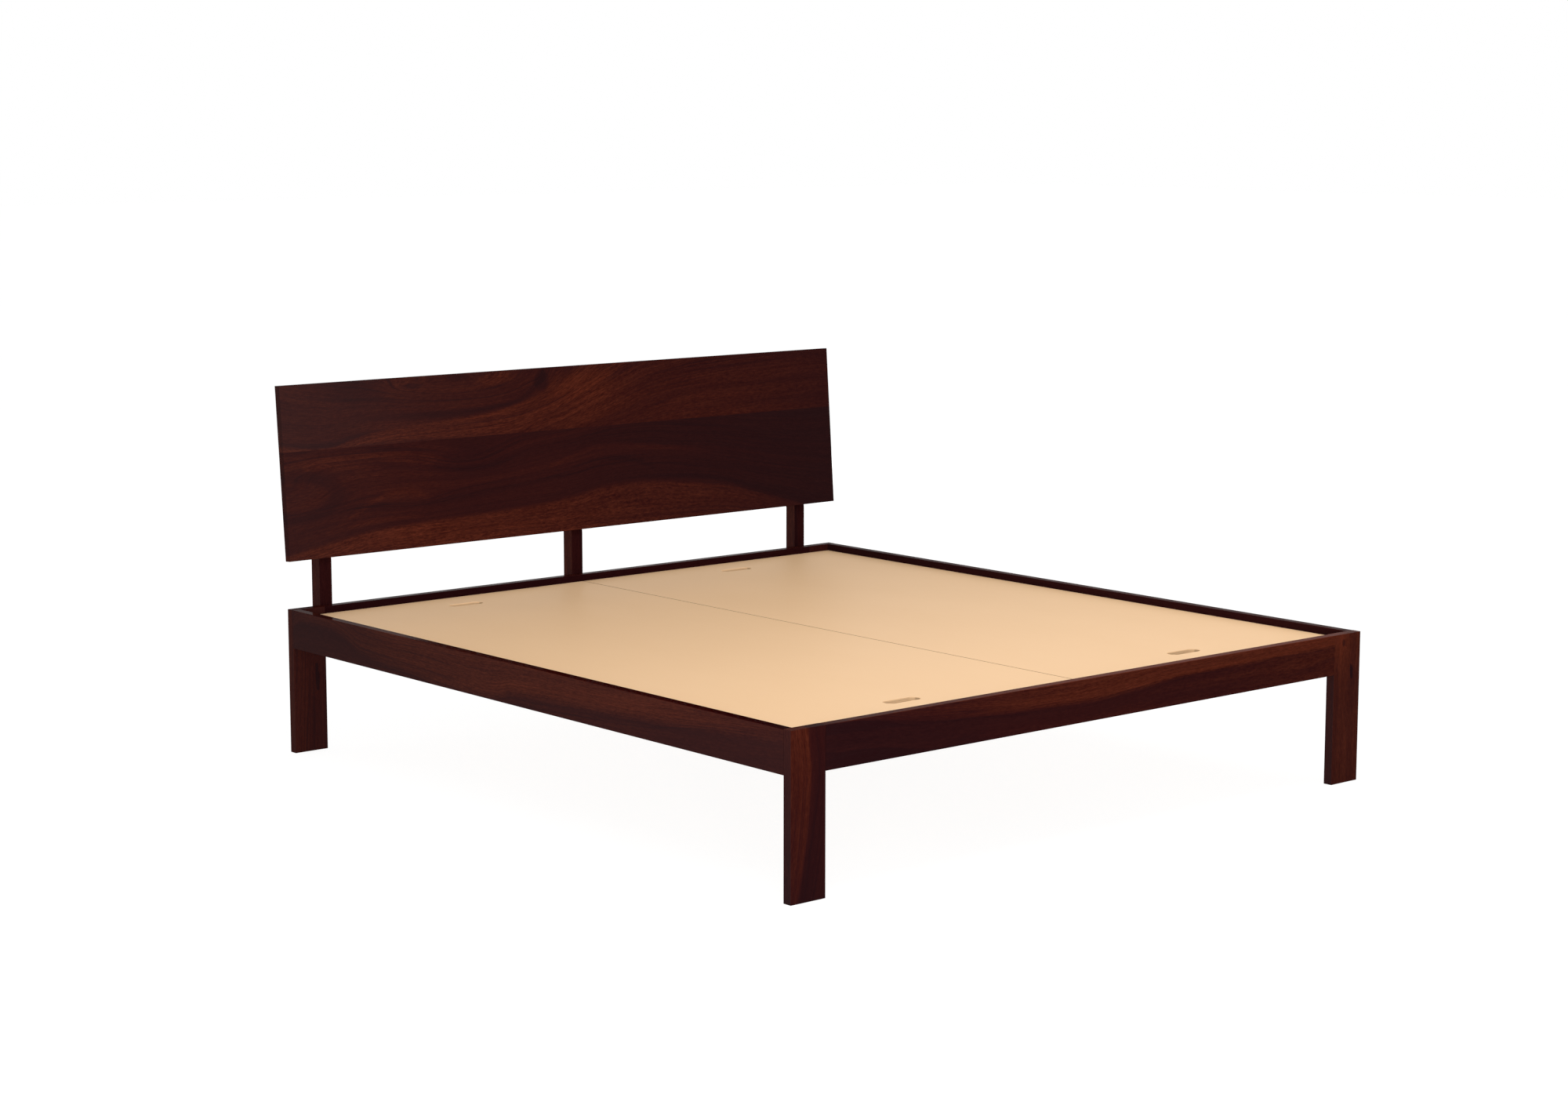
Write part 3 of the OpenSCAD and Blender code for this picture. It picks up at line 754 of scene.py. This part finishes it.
@dataclass(frozen=True)
class PlatedSteel:
    """Steel with a plated or blackened surface.

    Attributes:
        dark: Its darker colour.
        light: Its lighter colour.
        rough: Its roughness.
        gloss: Strength of its reflection.
        spangle: Crystals of its plating per metre.
        brushed: Brush marks per metre across and along them.
        depth: Height of the brush marks' relief, in metres.
    """

    dark: Triple
    light: Triple
    rough: float
    gloss: float = 0.5
    spangle: float = 450.0
    brushed: Triple = (900.0, 900.0, 90.0)
    depth: float = 0.00002

    def make(self, name: str) -> Material:
        """Makes the finish.

        Args:
            name: Name of the material.

        Returns:
            The material.
        """
        b = Bench(name)
        spangle = b.node("TexVoronoi")
        b.feed(spangle.inputs["Vector"], b.places.outputs["Object"])
        b.feed(spangle.inputs["Scale"], self.spangle)
        stretch = b.node("Mapping")
        b.feed(stretch.inputs["Vector"], b.places.outputs["Object"])
        stretch.inputs["Scale"].default_value = self.brushed
        brush = b.noise(stretch.outputs[0], 3.0)
        cell = b.node("SeparateXYZ")
        b.feed(cell.inputs[0], spangle.outputs["Color"])
        tone = b.total(0.5, b.times(brush, 0.3), b.scaled(cell.outputs[0], 0.5, -0.25))
        b.relief(brush, self.depth)
        rough = b.scaled(brush, 0.08, self.rough)
        return b.finish(b.ramp(tone, (self.dark, self.light)), rough, self.gloss, metal=1.0)


ZINC = PlatedSteel((0.46, 0.47, 0.47), (0.66, 0.67, 0.66), 0.34)
BLACK = PlatedSteel((0.03, 0.03, 0.032), (0.062, 0.062, 0.066), 0.42)


def dress(node: str, material: Material) -> None:
    """Gives a solid its finish.

    Args:
        node: Name of the solid.
        material: The finish.
    """
    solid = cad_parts[node]
    solid.data.materials.clear()
    solid.data.materials.append(material)
    LOG.info("%s: %s, %d faces", node, material.name, len(solid.data.polygons))


@dataclass
class Headboard:
    """The two boards of the leaning headboard, and the posts behind them.

    Attributes:
        lean: How far it leans back, in radians.
        thick: Thickness of its boards, in metres.
        timber: The finish of boards and posts.
        posts: Each post's side, and the tone that its left face adds, painted light that makes that face
            lighter than the front.
    """

    lean: float = math.radians(4.4)
    thick: float = 0.022
    timber: StainedTimber = field(default_factory=StainedTimber)
    posts: tuple[tuple[str, float], ...] = (("left", 0.31), ("middle", 0.43), ("right", 0.38))

    def board(self, node: str) -> Board:
        """Lays a board on the headboard's slope, counted from the board's lower front edge.

        Args:
            node: Name of the solid.

        Returns:
            The board.
        """
        low, high = (Vector(corner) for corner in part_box(node))
        up = (0.0, math.sin(self.lean), math.cos(self.lean))
        edge = low.z + self.thick * up[1]
        return Board((low.x, low.y, edge), (1.0, 0.0, 0.0), up, (high.z - edge) / up[2])

    def upper_figure(self) -> Figure:
        """Draws the grain of the upper board, whose pale streak fans out upwards beside a dark eye.

        Returns:
            The figure.
        """
        streak = ((0, 0.004), (0.13, -0.003), (0.22, 0.012), (0.3, 0.021), (0.5, 0.026), (0.7, 0.036),
                  (0.85, 0.056), (1, 0.09), (1.15, 0.12), (1.4, 0.13))
        return Figure(
            seed=4.0,
            flow=((0, 0.004), (0.13, -0.003), (0.3, 0.021), (0.5, 0.026), (0.7, 0.04), (0.85, 0.085),
                  (1, 0.15), (1.12, 0.195), (1.25, 0.232), (1.45, 0.255), (1.7, 0.262), (1.908, 0.265)),
            tone=((0, 0.3), (0.22, 0.31), (0.32, 0.36), (0.42, 0.33), (0.55, 0.31), (0.9, 0.34), (1.05, 0.36),
                  (1.2, 0.37), (1.5, 0.36), (1.75, 0.31), (1.908, 0.25)),
            # Painted sheen: grey that is strongest at the left end and fades along the board.
            veil=((0, 0.0062), (0.25, 0.0046), (0.55, 0.002), (0.9, 0.0006), (1.908, 0.0006)),
            eyes=(Eye((0.57, 0.15), (0.32, 0.07), 0.14, core=0.04, ring=-0.1),
                  Eye((0.41, 0.15), (0.05, 0.01), 0.02, core=-0.16),
                  Eye((0.69, 0.154), (0.09, 0.022), 0, core=0.12),
                  Eye((0.845, 0.14), (0.035, 0.04), 0.02, core=-0.14)),
            bands=(
                Band(streak,
                     ((0, 0.013), (0.05, 0.009), (0.1, 0.005), (0.14, 0.005), (0.3, 0.014), (0.5, 0.021),
                      (0.7, 0.036), (0.85, 0.055), (1, 0.075), (1.4, 0.08)),
                     ((0, 0.26), (0.25, 0.24), (0.6, 0.22), (0.95, 0.22), (1.1, 0.12), (1.28, 0), (1.4, 0)),
                     soft=0.4),
                Band(((0.7, 0.15), (0.95, 0.13), (1.1, 0.15)), ((0.7, 0.02), (0.95, 0.045), (1.1, 0.02)),
                     ((0.86, 0), (0.93, 0.17), (1, 0.16), (1.1, 0)), soft=0.8),
                Band(moved(streak, 0.014), ((0, 0.007), (0.35, 0.006)),
                     ((0, -0.1), (0.2, -0.14), (0.28, -0.08), (0.35, 0))),
                Band(((0.35, 0.046), (0.5, 0.047), (0.63, 0.053), (0.72, 0.067), (0.8, 0.088), (0.875, 0.122),
                      (0.905, 0.16)), ((0.35, 0.003), (0.8, 0.005), (0.905, 0.012)),
                     ((0.35, 0), (0.5, 0.1), (0.85, 0.14), (0.905, 0))),
                Band(((0.2, 0.085), (0.28, 0.073), (0.45, 0.067), (0.6, 0.067), (0.7, 0.079), (0.77, 0.096),
                      (0.83, 0.135), (0.86, 0.17)), ((0.2, 0.01), (0.6, 0.008), (0.86, 0.016)),
                     ((0.2, 0), (0.35, -0.1), (0.6, -0.13), (0.82, -0.14), (0.86, -0.05))),
                Band(((0.3, 0.098), (0.5, 0.086), (0.66, 0.088), (0.78, 0.112)),
                     ((0.3, 0.003), (0.78, 0.004)),
                     ((0.3, 0), (0.5, 0.1), (0.72, 0.13), (0.79, 0))),
            ),
        )

    def lower_figure(self) -> Figure:
        """Draws the grain of the lower board, with a pale wave along its lower edge and dark wood above.

        Returns:
            The figure.
        """
        wave = ((0, 0.014), (0.15, 0.039), (0.3, 0.059), (0.5, 0.069), (0.7, 0.076), (0.85, 0.084),
                (0.95, 0.096), (1.05, 0.114), (1.15, 0.119), (1.3, 0.112), (1.45, 0.094), (1.6, 0.056),
                (1.75, 0.014), (1.908, -0.03))
        arch = ((0.7, 0.15), (0.85, 0.184), (0.95, 0.212), (1.06, 0.229), (1.2, 0.219), (1.5, 0.174),
                (1.7, 0.15))
        return Figure(
            seed=9.0,
            flow=wave,
            fade=0.26,
            tone=((0, 0.29), (0.25, 0.29), (0.45, 0.27), (0.62, 0.21), (0.8, 0.21), (1, 0.17), (1.2, 0.12),
                  (1.5, 0.07), (1.908, 0.03)),
            # Painted sheen: grey that is strongest at the left end, least in the middle.
            veil=((0, 0.0032), (0.25, 0.0018), (0.55, 0.0006), (0.9, 0.0006), (1.908, 0.0012)),
            eyes=(Eye((0.03, 0.165), (0.12, 0.05), 0.06, core=0.04, ring=-0.12),
                  Eye((0.4, 0.12), (0.2, 0.035), 0.05),
                  Eye((0.6, 0.225), (0.16, 0.05), 0.05, core=-0.05)),
            bands=(
                Band(moved(wave, -0.02, 0.5), moved(wave, 0.02, 0.5),
                     ((0, 0.17), (0.25, 0.27), (0.5, 0.36), (0.85, 0.37), (1.15, 0.34), (1.5, 0.3),
                      (1.75, 0.18), (1.908, 0.08)),
                     soft=0.16),
                Band(moved(wave, 0.014), ((0, 0.01), (1, 0.008), (1.75, 0.006)),
                     ((0, -0.06), (0.5, -0.1), (1.2, -0.08), (1.7, -0.05))),
                Band(((0, 0.262), (0.4, 0.258)), ((0, 0.014), (0.4, 0.008)),
                     ((0, 0.12), (0.25, 0.12), (0.4, 0)), soft=0.7),
                Band(((0.05, 0.242), (0.16, 0.237), (0.29, 0.228)),
                     ((0.05, 0.004), (0.16, 0.008), (0.29, 0.004)),
                     ((0.05, 0), (0.12, 0.14), (0.25, 0.12), (0.3, 0))),
                Band(((0.3, 0.251), (0.4, 0.232), (0.47, 0.219)), ((0.3, 0.005), (0.4, 0.009), (0.47, 0.004)),
                     ((0.3, 0), (0.36, 0.12), (0.43, 0.11), (0.47, 0))),
                Band(((0.11, 0.06), (0.21, 0.105), (0.28, 0.141), (0.35, 0.155), (0.41, 0.149),
                      (0.45, 0.132)),
                     ((0.11, 0.006), (0.28, 0.006), (0.35, 0.009), (0.45, 0.008)),
                     ((0.11, 0), (0.2, 0.1), (0.38, 0.17), (0.42, 0.13), (0.45, 0))),
                Band(((0.18, 0.072), (0.3, 0.086), (0.42, 0.086)),
                     ((0.18, 0.003), (0.3, 0.006), (0.42, 0.004)),
                     ((0.18, 0), (0.26, 0.13), (0.38, 0.11), (0.43, 0))),
                Band(arch, ((0.7, 0.004), (1.06, 0.007), (1.5, 0.006)),
                     ((0.85, 0), (1, 0.15), (1.2, 0.12), (1.45, 0))),
                Band(((0.82, 0.15), (0.91, 0.166), (1.05, 0.195), (1.12, 0.188), (1.23, 0.152)),
                     ((0.82, 0.005), (1.23, 0.007)),
                     ((0.82, 0), (0.95, -0.08), (1.15, -0.1), (1.23, 0))),
            ),
        )

    def finish(self) -> None:
        """Dresses the boards and the posts."""
        for part, grain in (("lower", self.lower_figure()), ("upper", self.upper_figure())):
            node = f"headboard_{part}_board"
            dress(node, self.timber.make(f"headboard_{part}_grain", self.board(node), grain))
        for seed, (side, tone) in enumerate(self.posts, 21):
            node = f"headboard_post_{side}"
            # Painted shade and light: a dark tone for the fronts, in the headboard's shade, and a lighter
            # left face with a painted sheen.
            grain = Figure(
                seed=float(seed), tone=level(0.11), side=tone, veil=level(-0.001), side_veil=0.0065
            )
            dress(node, self.timber.make(f"post_{side}_grain", Board.of(node, Lie.STANDING), grain))


@dataclass
class Surround:
    """The four legs and the four rails.

    Attributes:
        timber: Their finish.
        lively: Contrast of the rails' fine grain, where 1 is that of the timber.
        top: Height at which the rails' paler part would end, in metres above their lower edge.
    """

    timber: StainedTimber = field(default_factory=StainedTimber)
    lively: float = 0.8
    top: float = 0.125

    def leg_figures(self) -> dict[str, Figure]:
        """Draws the grain of each leg, counted up from the floor and across from its left edge, with painted
        light and shade and a painted sheen on its left face.

        Returns:
            The figure of each solid.
        """
        edge = ((0, 0.017), (0.01, 0.02), (0.085, 0.037), (0.16, 0.05), (0.22, 0.056), (0.285, 0.06),
                (0.34, 0.055), (0.385, 0.05))
        # Painted light and shade: the side tone darkens each leg's left face, and lightens it a little on the
        # head-left leg; the greys are painted sheen.
        return {
            "leg_foot_left": Figure(
                seed=31.0,
                flow=edge,
                tone=((0, 0.07), (0.1, 0.11), (0.25, 0.16), (0.385, 0.22)),
                side=-0.25,
                veil=((0, -0.0004), (0.2, -0.0008), (0.385, -0.001)),
                side_veil=0.0045,
                lively=0.7,
                bands=(Band(moved(edge, -0.02, 0.5), moved(edge, 0.02, 0.5),
                            ((0, 0.19), (0.12, 0.25), (0.25, 0.29), (0.385, 0.4)), soft=0.14),),
            ),
            "leg_foot_right": Figure(
                seed=35.0,
                tone=((0, 0.46), (0.15, 0.49), (0.22, 0.49), (0.26, 0.52), (0.3, 0.57), (0.385, 0.74)),
                side=-0.3,
                veil=((0, 0.0003), (0.25, 0.0003), (0.385, -0.0003)),
                side_veil=0.0044,
                lively=0.7,
                eyes=(Eye((0.363, 0.035), (0.013, 0.008), 0.012, core=-0.42),
                      Eye((0.2, 0.05), (0.05, 0.014), 0.025)),
                bands=(Band(((0.26, 0.07), (0.31, 0.064)), ((0.268, 0.0026), (0.286, 0.0048), (0.304, 0.003)),
                            ((0.266, 0), (0.274, -0.55), (0.298, -0.5), (0.306, 0)), soft=0.5),
                       Band(((0.24, 0.055), (0.268, 0.075)), ((0.24, 0.012), (0.268, 0.015)),
                            ((0.242, 0), (0.252, -0.07), (0.262, -0.08), (0.27, 0)), soft=0.8),
                       Band(((0.25, 0.014), (0.385, 0.02)), ((0.25, 0.01), (0.385, 0.018)),
                            ((0.25, 0), (0.33, 0.16), (0.385, 0.22)), soft=0.7),
                       Band(((0.18, 0.085), (0.3, 0.085)), ((0.18, 0.02), (0.3, 0.02)),
                            ((0.18, 0), (0.22, -0.12), (0.27, -0.12), (0.3, 0)), soft=0.8),
                       Band(((0.29, 0.082), (0.385, 0.078)), ((0.29, 0.02), (0.385, 0.024)),
                            ((0.29, 0), (0.33, -0.1), (0.385, -0.14)), soft=0.8)),
            ),
            "leg_head_left": Figure(
                seed=39.0,
                tone=((0, 0.39), (0.25, 0.39), (0.385, 0.33)),
                side=0.02,
                veil=((0, 0.0017), (0.3, 0.0019), (0.37, 0.0022), (0.3845, 0.0022), (0.385, -0.002)),
                side_veil=0.0042,
                polish=0.35,
                lively=0.7,
                eyes=(Eye((0.2, 0.072), (0.05, 0.01), 0.014),),
                bands=(Band(((0.16, 0.074), (0.236, 0.07)), ((0.16, 0.0022), (0.2, 0.0048), (0.236, 0.003)),
                            ((0.162, 0), (0.17, -0.85), (0.228, -0.75), (0.236, 0)), soft=0.4),
                       Band(((0, 0.1), (0.385, 0.1)), ((0, 0.045), (0.385, 0.03)),
                            ((0, -0.13), (0.28, -0.1), (0.385, 0)), soft=0.4)),
            ),
            "leg_head_right": Figure(seed=43.0, side=-0.12),
        }

    def rail_figures(self) -> dict[str, tuple[Lie, Figure]]:
        """Draws the grain of each rail, with a paler band along its upper edge over darker wood, and the
        painted sheen, reflection and shade that some rails carry.

        Returns:
            The lie and the figure of each solid.
        """
        side_edge = ((0, 0.05), (0.13, 0.082), (0.33, 0.037), (0.55, 0.02), (0.85, 0.006), (1, 0.027),
                     (1.2, 0.037), (1.5, 0.047), (1.7, 0.057), (1.85, 0.067), (2.05, 0.08))
        foot_edge = ((0, 0.105), (0.15, 0.097), (0.3, 0.077), (0.5, 0.06), (0.7, 0.052), (0.85, 0.05),
                     (1, 0.058), (1.15, 0.066), (1.3, 0.07), (1.5, 0.074), (1.7, 0.078), (1.905, 0.082))
        return {
            # Painted reflection on the top strip: lighter near the head end, darker where the posts are
            # mirrored and along the rest; the greys are painted sheen, strongest at the head end.
            "side_rail_left": (Lie.ALONG_THE_BED, self.over(
                side_edge, 51,
                below=((0, 0.23), (0.3, 0.24), (0.6, 0.36), (0.9, 0.31), (1.3, 0.27), (2.05, 0.26)),
                above=((0, 0.1), (0.3, 0.2), (0.6, 0.18), (1, 0.3), (1.3, 0.33), (1.7, 0.25), (2.05, 0.1)),
                veil=((0, 0.0078), (0.5, 0.006), (1.2, 0.0046), (2.05, 0.0036)),
                far=((0, 0.12), (0.09, 0.06), (0.14, -0.12), (0.2, 0.1), (0.46, 0.1), (0.54, -0.12),
                     (0.8, -0.27), (2.05, -0.27)),
                far_veil=-0.0085,
                far_rough=-0.18,
                polish=0.55,
                soft=0.55,
            )),
            # Painted sheen: a lighter top strip, and a little less grey over the rest.
            "foot_rail": (Lie.ACROSS_THE_BED, self.over(
                foot_edge, 55,
                below=((0, 0.06), (0.2, 0.06), (0.4, 0.1), (0.6, 0.2), (0.9, 0.28), (1.3, 0.31), (1.7, 0.48),
                       (1.905, 0.53)),
                above=((0, 0.1), (0.3, 0.24), (0.6, 0.33), (0.9, 0.42), (1.3, 0.4), (1.905, 0.24)),
                veil=level(-0.0005),
                far=level(0.35),
            )),
            # Painted shade on the inner face above the platform.
            "side_rail_right": (Lie.ALONG_THE_BED, Figure(seed=59.0, front=-0.22)),
            # Painted shade on the inner face above the platform, and less grey over the rest.
            "head_rail": (Lie.ACROSS_THE_BED, Figure(
                seed=63.0,
                front=-0.24,
                veil=level(-0.0016),
                polish=2.8,
            )),
        }

    def over(
        self, edge: Line, seed: float, below: Line, above: Line, soft: float = 0.22, **more: float | Line
    ) -> Figure:
        """Makes the figure of a rail that is paler above a wavy line.

        Args:
            edge: The line, in metres above the rail's lower edge.
            seed: Number that sets its random lines apart.
            below: Tone of the wood below the line.
            above: Tone that is added above it.
            soft: Share of the paler part's half width over which it fades out.
            more: What else is particular to its grain, with the painted light and shade that it carries.

        Returns:
            The figure.
        """
        end = edge[-1][0]
        bands = (
            Band(moved(edge, self.top / 2, 0.5), moved(edge, self.top / 2, -0.5), above, soft),
            Band(moved(edge, -0.01), ((0.0, 0.008), (end, 0.01)), ((0.0, -0.03), (end, -0.08)), soft=0.8),
        )
        return Figure(seed=seed, flow=edge, fade=0.2, tone=below, lively=self.lively, bands=bands, **more)

    def finish(self) -> None:
        """Dresses the legs and the rails."""
        for node, figure in self.leg_figures().items():
            dress(node, self.timber.make(f"{node}_grain", Board.of(node, Lie.STANDING), figure))
        for node, (lie, figure) in self.rail_figures().items():
            dress(node, self.timber.make(f"{node}_grain", Board.of(node, lie), figure))


@dataclass
class Platform:
    """The two boards that carry the mattress.

    Attributes:
        board: Their finish.
        sides: Each board's side, the number of its fibres, and how much paler it is than the middle tone.
    """

    board: SandedBoard = field(default_factory=SandedBoard)
    sides: tuple[tuple[str, float, float], ...] = (("left", 2.0, 0.16), ("right", 7.0, 0.12))

    def finish(self) -> None:
        """Dresses the two boards."""
        for side, seed, pale in self.sides:
            node = f"platform_board_{side}"
            dress(node, self.board.make(f"{node}_surface", Board.of(node, Lie.FLAT), seed, pale))


@dataclass
class Supports:
    """The cleats, the centre beam with its leg, and the cross battens.

    Attributes:
        timber: Their finish.
    """

    timber: PalePine = field(default_factory=PalePine)

    def lies(self) -> dict[str, Lie]:
        """Tells the way that each support lies.

        Returns:
            The lie of each solid.
        """
        lies = {"centre_beam": Lie.ALONG_THE_BED, "centre_leg": Lie.STANDING}
        for side in ("left", "right"):
            lies[f"side_cleat_{side}"] = Lie.ALONG_THE_BED
            lies[f"foot_cleat_{side}"] = Lie.ACROSS_THE_BED
            lies[f"head_cleat_{side}"] = Lie.ACROSS_THE_BED
        for place in ("foot", "middle", "head"):
            lies[f"cross_batten_{place}"] = Lie.ACROSS_THE_BED
        return lies

    def finish(self) -> None:
        """Dresses the supports."""
        for seed, (node, lie) in enumerate(self.lies().items()):
            dress(node, self.timber.make(f"{node}_pine", Board.of(node, lie), float(seed)))


@dataclass
class Hardware:
    """The steel parts that hold the frame together.

    Attributes:
        black: The solids with a blackened finish.
        bright: The solids with a plated one, apart from the rail hooks' plates.
    """

    black: tuple[str, ...] = ("headboard_screws", "post_bolts", "post_washers")
    bright: tuple[str, ...] = (
        "beam_hanger_foot", "beam_hanger_head", "hook_plate_screws", "catch_plate_screws", "cleat_screws",
        "batten_screws", "hanger_screws", "post_inserts", "centre_leg_bolts", "centre_leg_nuts",
    )

    def finish(self) -> None:
        """Dresses the steel parts."""
        zinc, black = ZINC.make("zinc_plated_fittings"), BLACK.make("black_bolts_and_screws")
        corners = [f"{end}_{side}" for end in ("foot", "head") for side in ("left", "right")]
        plates = [f"{kind}_plate_{corner}" for kind in ("hook", "catch") for corner in corners]
        for node in (*self.bright, *plates):
            dress(node, zinc)
        for node in self.black:
            dress(node, black)


@dataclass(frozen=True)
class Lamp:
    """A soft lamp that no camera or mirror sees.

    Attributes:
        name: Its name.
        place: Where it hangs.
        aim: The point that it faces.
        size: Its width and height, in metres.
        power: Its power in watts.
    """

    name: str
    place: Triple
    aim: Triple
    size: Point
    power: float

    def hang(self) -> None:
        """Hangs the lamp in its place."""
        data = bpy.data.lights.new(self.name, "AREA")
        data.shape = "RECTANGLE"
        data.size, data.size_y = self.size
        data.energy = self.power
        lamp = bpy.data.objects.new(self.name, data)
        lamp.visible_camera = False
        lamp.visible_glossy = False
        lamp.location = self.place
        lamp.rotation_euler = (Vector(self.aim) - Vector(self.place)).to_track_quat("-Z", "Y").to_euler()
        bpy.context.scene.collection.objects.link(lamp)


@dataclass
class Studio:
    """The camera, the floor and the light.

    Attributes:
        place: Where the camera stands.
        yaw: Its turn from +Y towards +X, in degrees.
        pitch: Its tilt below the horizon, in degrees.
        roll: Its roll, in degrees.
        lens: Its focal length, in millimetres.
        sensor: Width of its sensor, in millimetres.
        sight: How far it sees, in metres.
        sky: Strength of the light that comes from all round.
        reach: How far the floor goes to each side, in metres.
        glow: Brightness that the floor shows by itself.
        matt: Grey of the floor that takes the shadow.
        bounce: Grey of the floor that throws light back onto the bed.
        lamps: The lamps.
    """

    place: Triple = (-5.0879, -5.8942, 1.7195)
    yaw: float = 40.4095
    pitch: float = 8.3804
    roll: float = 0.0388
    lens: float = 69.6636
    sensor: float = 36.0
    sight: float = 200.0
    sky: float = 0.53
    reach: float = 40.0
    glow: float = 0.925
    matt: float = 0.15
    bounce: float = 0.8
    lamps: tuple[Lamp, ...] = (
        Lamp("top_lamp", (0.0, -1.15, 2.4), (0.0, -1.15, 0.0), (5.0, 1.2), 37.0),
        Lamp("front_lamp", (-4.2, -5.0, 0.9), (0.0, -0.3, 0.4), (2.4, 1.6), 243.0),
        Lamp("back_lamp", (4.6, 5.4, 1.2), (0.0, 0.3, 0.4), (2.4, 1.6), 180.0),
    )

    def camera(self) -> None:
        """Sets the camera where the photograph was taken."""
        yaw, pitch, roll = (math.radians(angle) for angle in (self.yaw, self.pitch, self.roll))
        ahead = Vector((math.sin(yaw) * math.cos(pitch), math.cos(yaw) * math.cos(pitch), -math.sin(pitch)))
        flat = Vector((math.cos(yaw), -math.sin(yaw), 0.0))
        above = flat.cross(ahead)
        right = flat * math.cos(roll) + above * math.sin(roll)
        up = above * math.cos(roll) - flat * math.sin(roll)
        data = bpy.data.cameras.new("camera")
        data.lens = self.lens
        data.sensor_width = self.sensor
        data.sensor_fit = "HORIZONTAL"
        data.clip_end = self.sight
        camera = bpy.data.objects.new("camera", data)
        turn = Matrix((right, up, -ahead)).transposed().to_4x4()
        camera.matrix_world = Matrix.Translation(self.place) @ turn
        bpy.context.scene.collection.objects.link(camera)
        bpy.context.scene.camera = camera

    def split(self, tree: bpy.types.NodeTree, lit: Socket, shown: Socket, output: str) -> None:
        """Gives one shader to the rays that carry light, and another to those that show the background.

        Args:
            tree: The node tree.
            lit: The shader for the rays that carry light.
            shown: The shader for camera, mirror and glass rays.
            output: Name of the tree's last node.
        """
        path = tree.nodes.new("ShaderNodeLightPath")
        seen = path.outputs["Is Camera Ray"]
        for name in ("Is Glossy Ray", "Is Transmission Ray"):
            either = tree.nodes.new("ShaderNodeMath")
            either.operation = "MAXIMUM"
            tree.links.new(seen, either.inputs[0])
            tree.links.new(path.outputs[name], either.inputs[1])
            seen = either.outputs[0]
        mix = tree.nodes.new("ShaderNodeMixShader")
        for source, socket in zip((seen, lit, shown), mix.inputs):
            tree.links.new(source, socket)
        tree.links.new(mix.outputs[0], tree.nodes[output].inputs["Surface"])

    def world(self) -> None:
        """Makes the white background and the even light."""
        world = bpy.data.worlds.new("studio")
        world.use_nodes = True
        tree = world.node_tree
        light = tree.nodes["Background"]
        light.inputs["Strength"].default_value = self.sky
        white = tree.nodes.new("ShaderNodeBackground")
        for background in (light, white):
            background.inputs["Color"].default_value = (1.0, 1.0, 1.0, 1.0)
        self.split(tree, light.outputs[0], white.outputs[0], "World Output")
        bpy.context.scene.world = world

    def floor(self) -> None:
        """Lays the plain pale floor, which shows white but keeps the shadow."""
        mesh = bpy.data.meshes.new("floor")
        far = self.reach
        corners = [(-far, -far, 0), (far, -far, 0), (far, far, 0), (-far, far, 0)]
        mesh.from_pydata(corners, [], [range(4)])
        floor = bpy.data.objects.new("floor", mesh)
        bpy.context.scene.collection.objects.link(floor)
        material = bpy.data.materials.new("pale_floor")
        material.use_nodes = True
        tree = material.node_tree
        tree.nodes.remove(tree.nodes["Principled BSDF"])
        kinds = ("Emission", "BsdfDiffuse", "AddShader", "BsdfDiffuse")
        glow, matt, both, bounce = (tree.nodes.new("ShaderNode" + kind) for kind in kinds)
        glow.inputs["Strength"].default_value = self.glow
        for part, grey in ((matt, self.matt), (bounce, self.bounce)):
            part.inputs["Color"].default_value = (grey, grey, grey, 1.0)
        tree.links.new(glow.outputs[0], both.inputs[0])
        tree.links.new(matt.outputs[0], both.inputs[1])
        self.split(tree, bounce.outputs[0], both.outputs[0], "Material Output")
        mesh.materials.append(material)

    def build(self) -> None:
        """Sets up the whole studio."""
        self.camera()
        self.world()
        self.floor()
        for lamp in self.lamps:
            lamp.hang()
        bpy.context.scene.view_settings.view_transform = "Standard"


def main() -> None:
    """Builds the studio and dresses each part of the bed in turn."""
    logging.basicConfig(level=logging.INFO, format="%(message)s")
    Studio().build()
    for part in (Headboard(), Surround(), Platform(), Supports(), Hardware()):
        part.finish()
        LOG.info("%s dressed", type(part).__name__)


if __name__ == "__main__":
    main()
